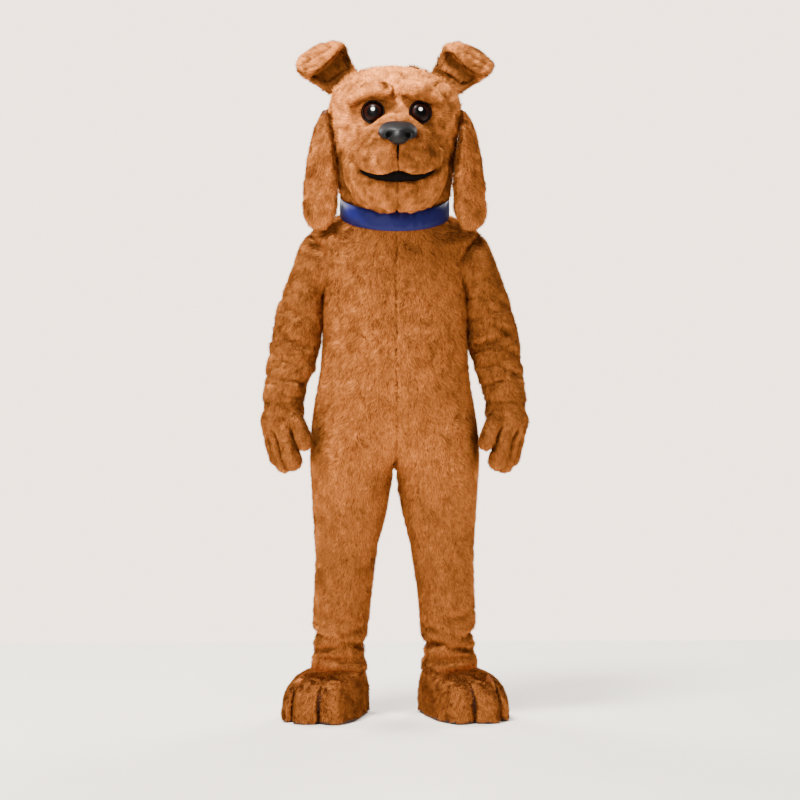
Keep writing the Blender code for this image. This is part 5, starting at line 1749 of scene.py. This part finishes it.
skin = dimpled(finer(outer_wall("collar"), 0.009), 0.0010, 0.05, 201)
collar_band = cloth("collar_band", skin, 0.0, 0.0022)
dressed(collar_band, collar_finish, "collar")
print("collar", len(skin[2]), "triangles")

# %% [markdown]
# The hollow of a folded ear is lined with the same fur cloth, cut thin. The soles are flat sheets of rubber glued
# under the feet, and their solids have the right form already, so each is only copied and given its finish.

# %% Ear linings and soles
LINING_THICK = 0.0020
for side, sign in SIDES:
    node = f"ear_top_lining_{side}"
    points, normals, tris = finer(outer_wall(node), 0.006)
    if normals[:, 1].mean() > 0:  # the wall found is the lining's back
        points, normals, tris = points - normals * LINING_THICK, -normals, tris[:, ::-1]
    plush_cover(node, (folded_down(points), normals, tris), 5000, top_ear_comb, under=0.0010, thick=0.0010,
                length=0.0140, width=0.0030, root=0.0009, seed=210 + sign, tone=top_ear_painted_shade, grain=CLUMPS,
                mottle=1.6, part=0.0, seam=0.25)
    node = f"sole_{side}"
    sole = bpy.data.objects.new(f"{node}_rubber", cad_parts[node].data.copy())
    bpy.context.scene.collection.objects.link(sole)
    sole.data.materials.clear()
    dressed(sole, rubber_finish, node)
    print(node, len(sole.data.polygons), "faces")

# %% [markdown]
# ## The floor
#
# A pale floor catches the soft shadow under the feet. It isn't part of the costume, so it is marked as stage.

# %% Floor
FLOOR_SIDE, FLOOR_NEAR, FLOOR_FAR = 9.0, -9.0, 2.1
FLOOR_UNDER = 0.0004
corners = np.array([(x, y, FLOOR - FLOOR_UNDER) for x, y in (
    (-FLOOR_SIDE, FLOOR_NEAR), (FLOOR_SIDE, FLOOR_NEAR), (FLOOR_SIDE, FLOOR_FAR), (-FLOOR_SIDE, FLOOR_FAR))])
floor = mesh_of("floor", corners, np.array([[0, 1, 2], [0, 2, 3]]))
floor_finish = plain_grain("pale floor", linear(238, 229, 217), linear(246, 239, 228), 0.6, 3.0)
floor_glow = floor_finish.node_tree.nodes["Principled BSDF"]
floor_glow.inputs["Emission Color"].default_value = linear(248, 232, 212)
floor_glow.inputs["Emission Strength"].default_value = 0.22
floor.data.materials.append(floor_finish)
floor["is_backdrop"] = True
print("floor", FLOOR_SIDE * 2, "m wide")

# %% [markdown]
# ## What each piece of cloth is
#
# A table lists, for each kind of cloth, the flat size it is cut to, how it is held and the pieces that carry it.
# The rectangle is the piece of cloth that it can be cut from.


CUTS = {
    "suit_front": ((0.48, 1.50), "hung", ["collar_band"]),
    "suit_back": ((0.48, 1.55), "hung", ["collar_band"]),
    "sleeve": ((0.48, 0.54), "hung", ["suit_front", "suit_back"]),
    "glove": ((0.36, 0.30), "stretched", ["sleeve"]),
    "head_side": ((0.40, 0.50), "stretched", ["head_face_cloth"]),
}
for kind, (flat, held, carriers) in CUTS.items():
    for side, sign in SIDES:
        node = f"{kind}_{side}"
print("blades in all:", sum(made_pile))

# %% [markdown]
# The pile stands a few millimetres past the box of the solids. The triangles of all the shown pieces are counted.

# %% Sizes, and the end
total = sum(len(thing.data.loop_triangles) or sum(len(f.vertices) - 2 for f in thing.data.polygons)
            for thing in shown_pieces() if thing.type == "MESH")
print("triangles in all:", total)
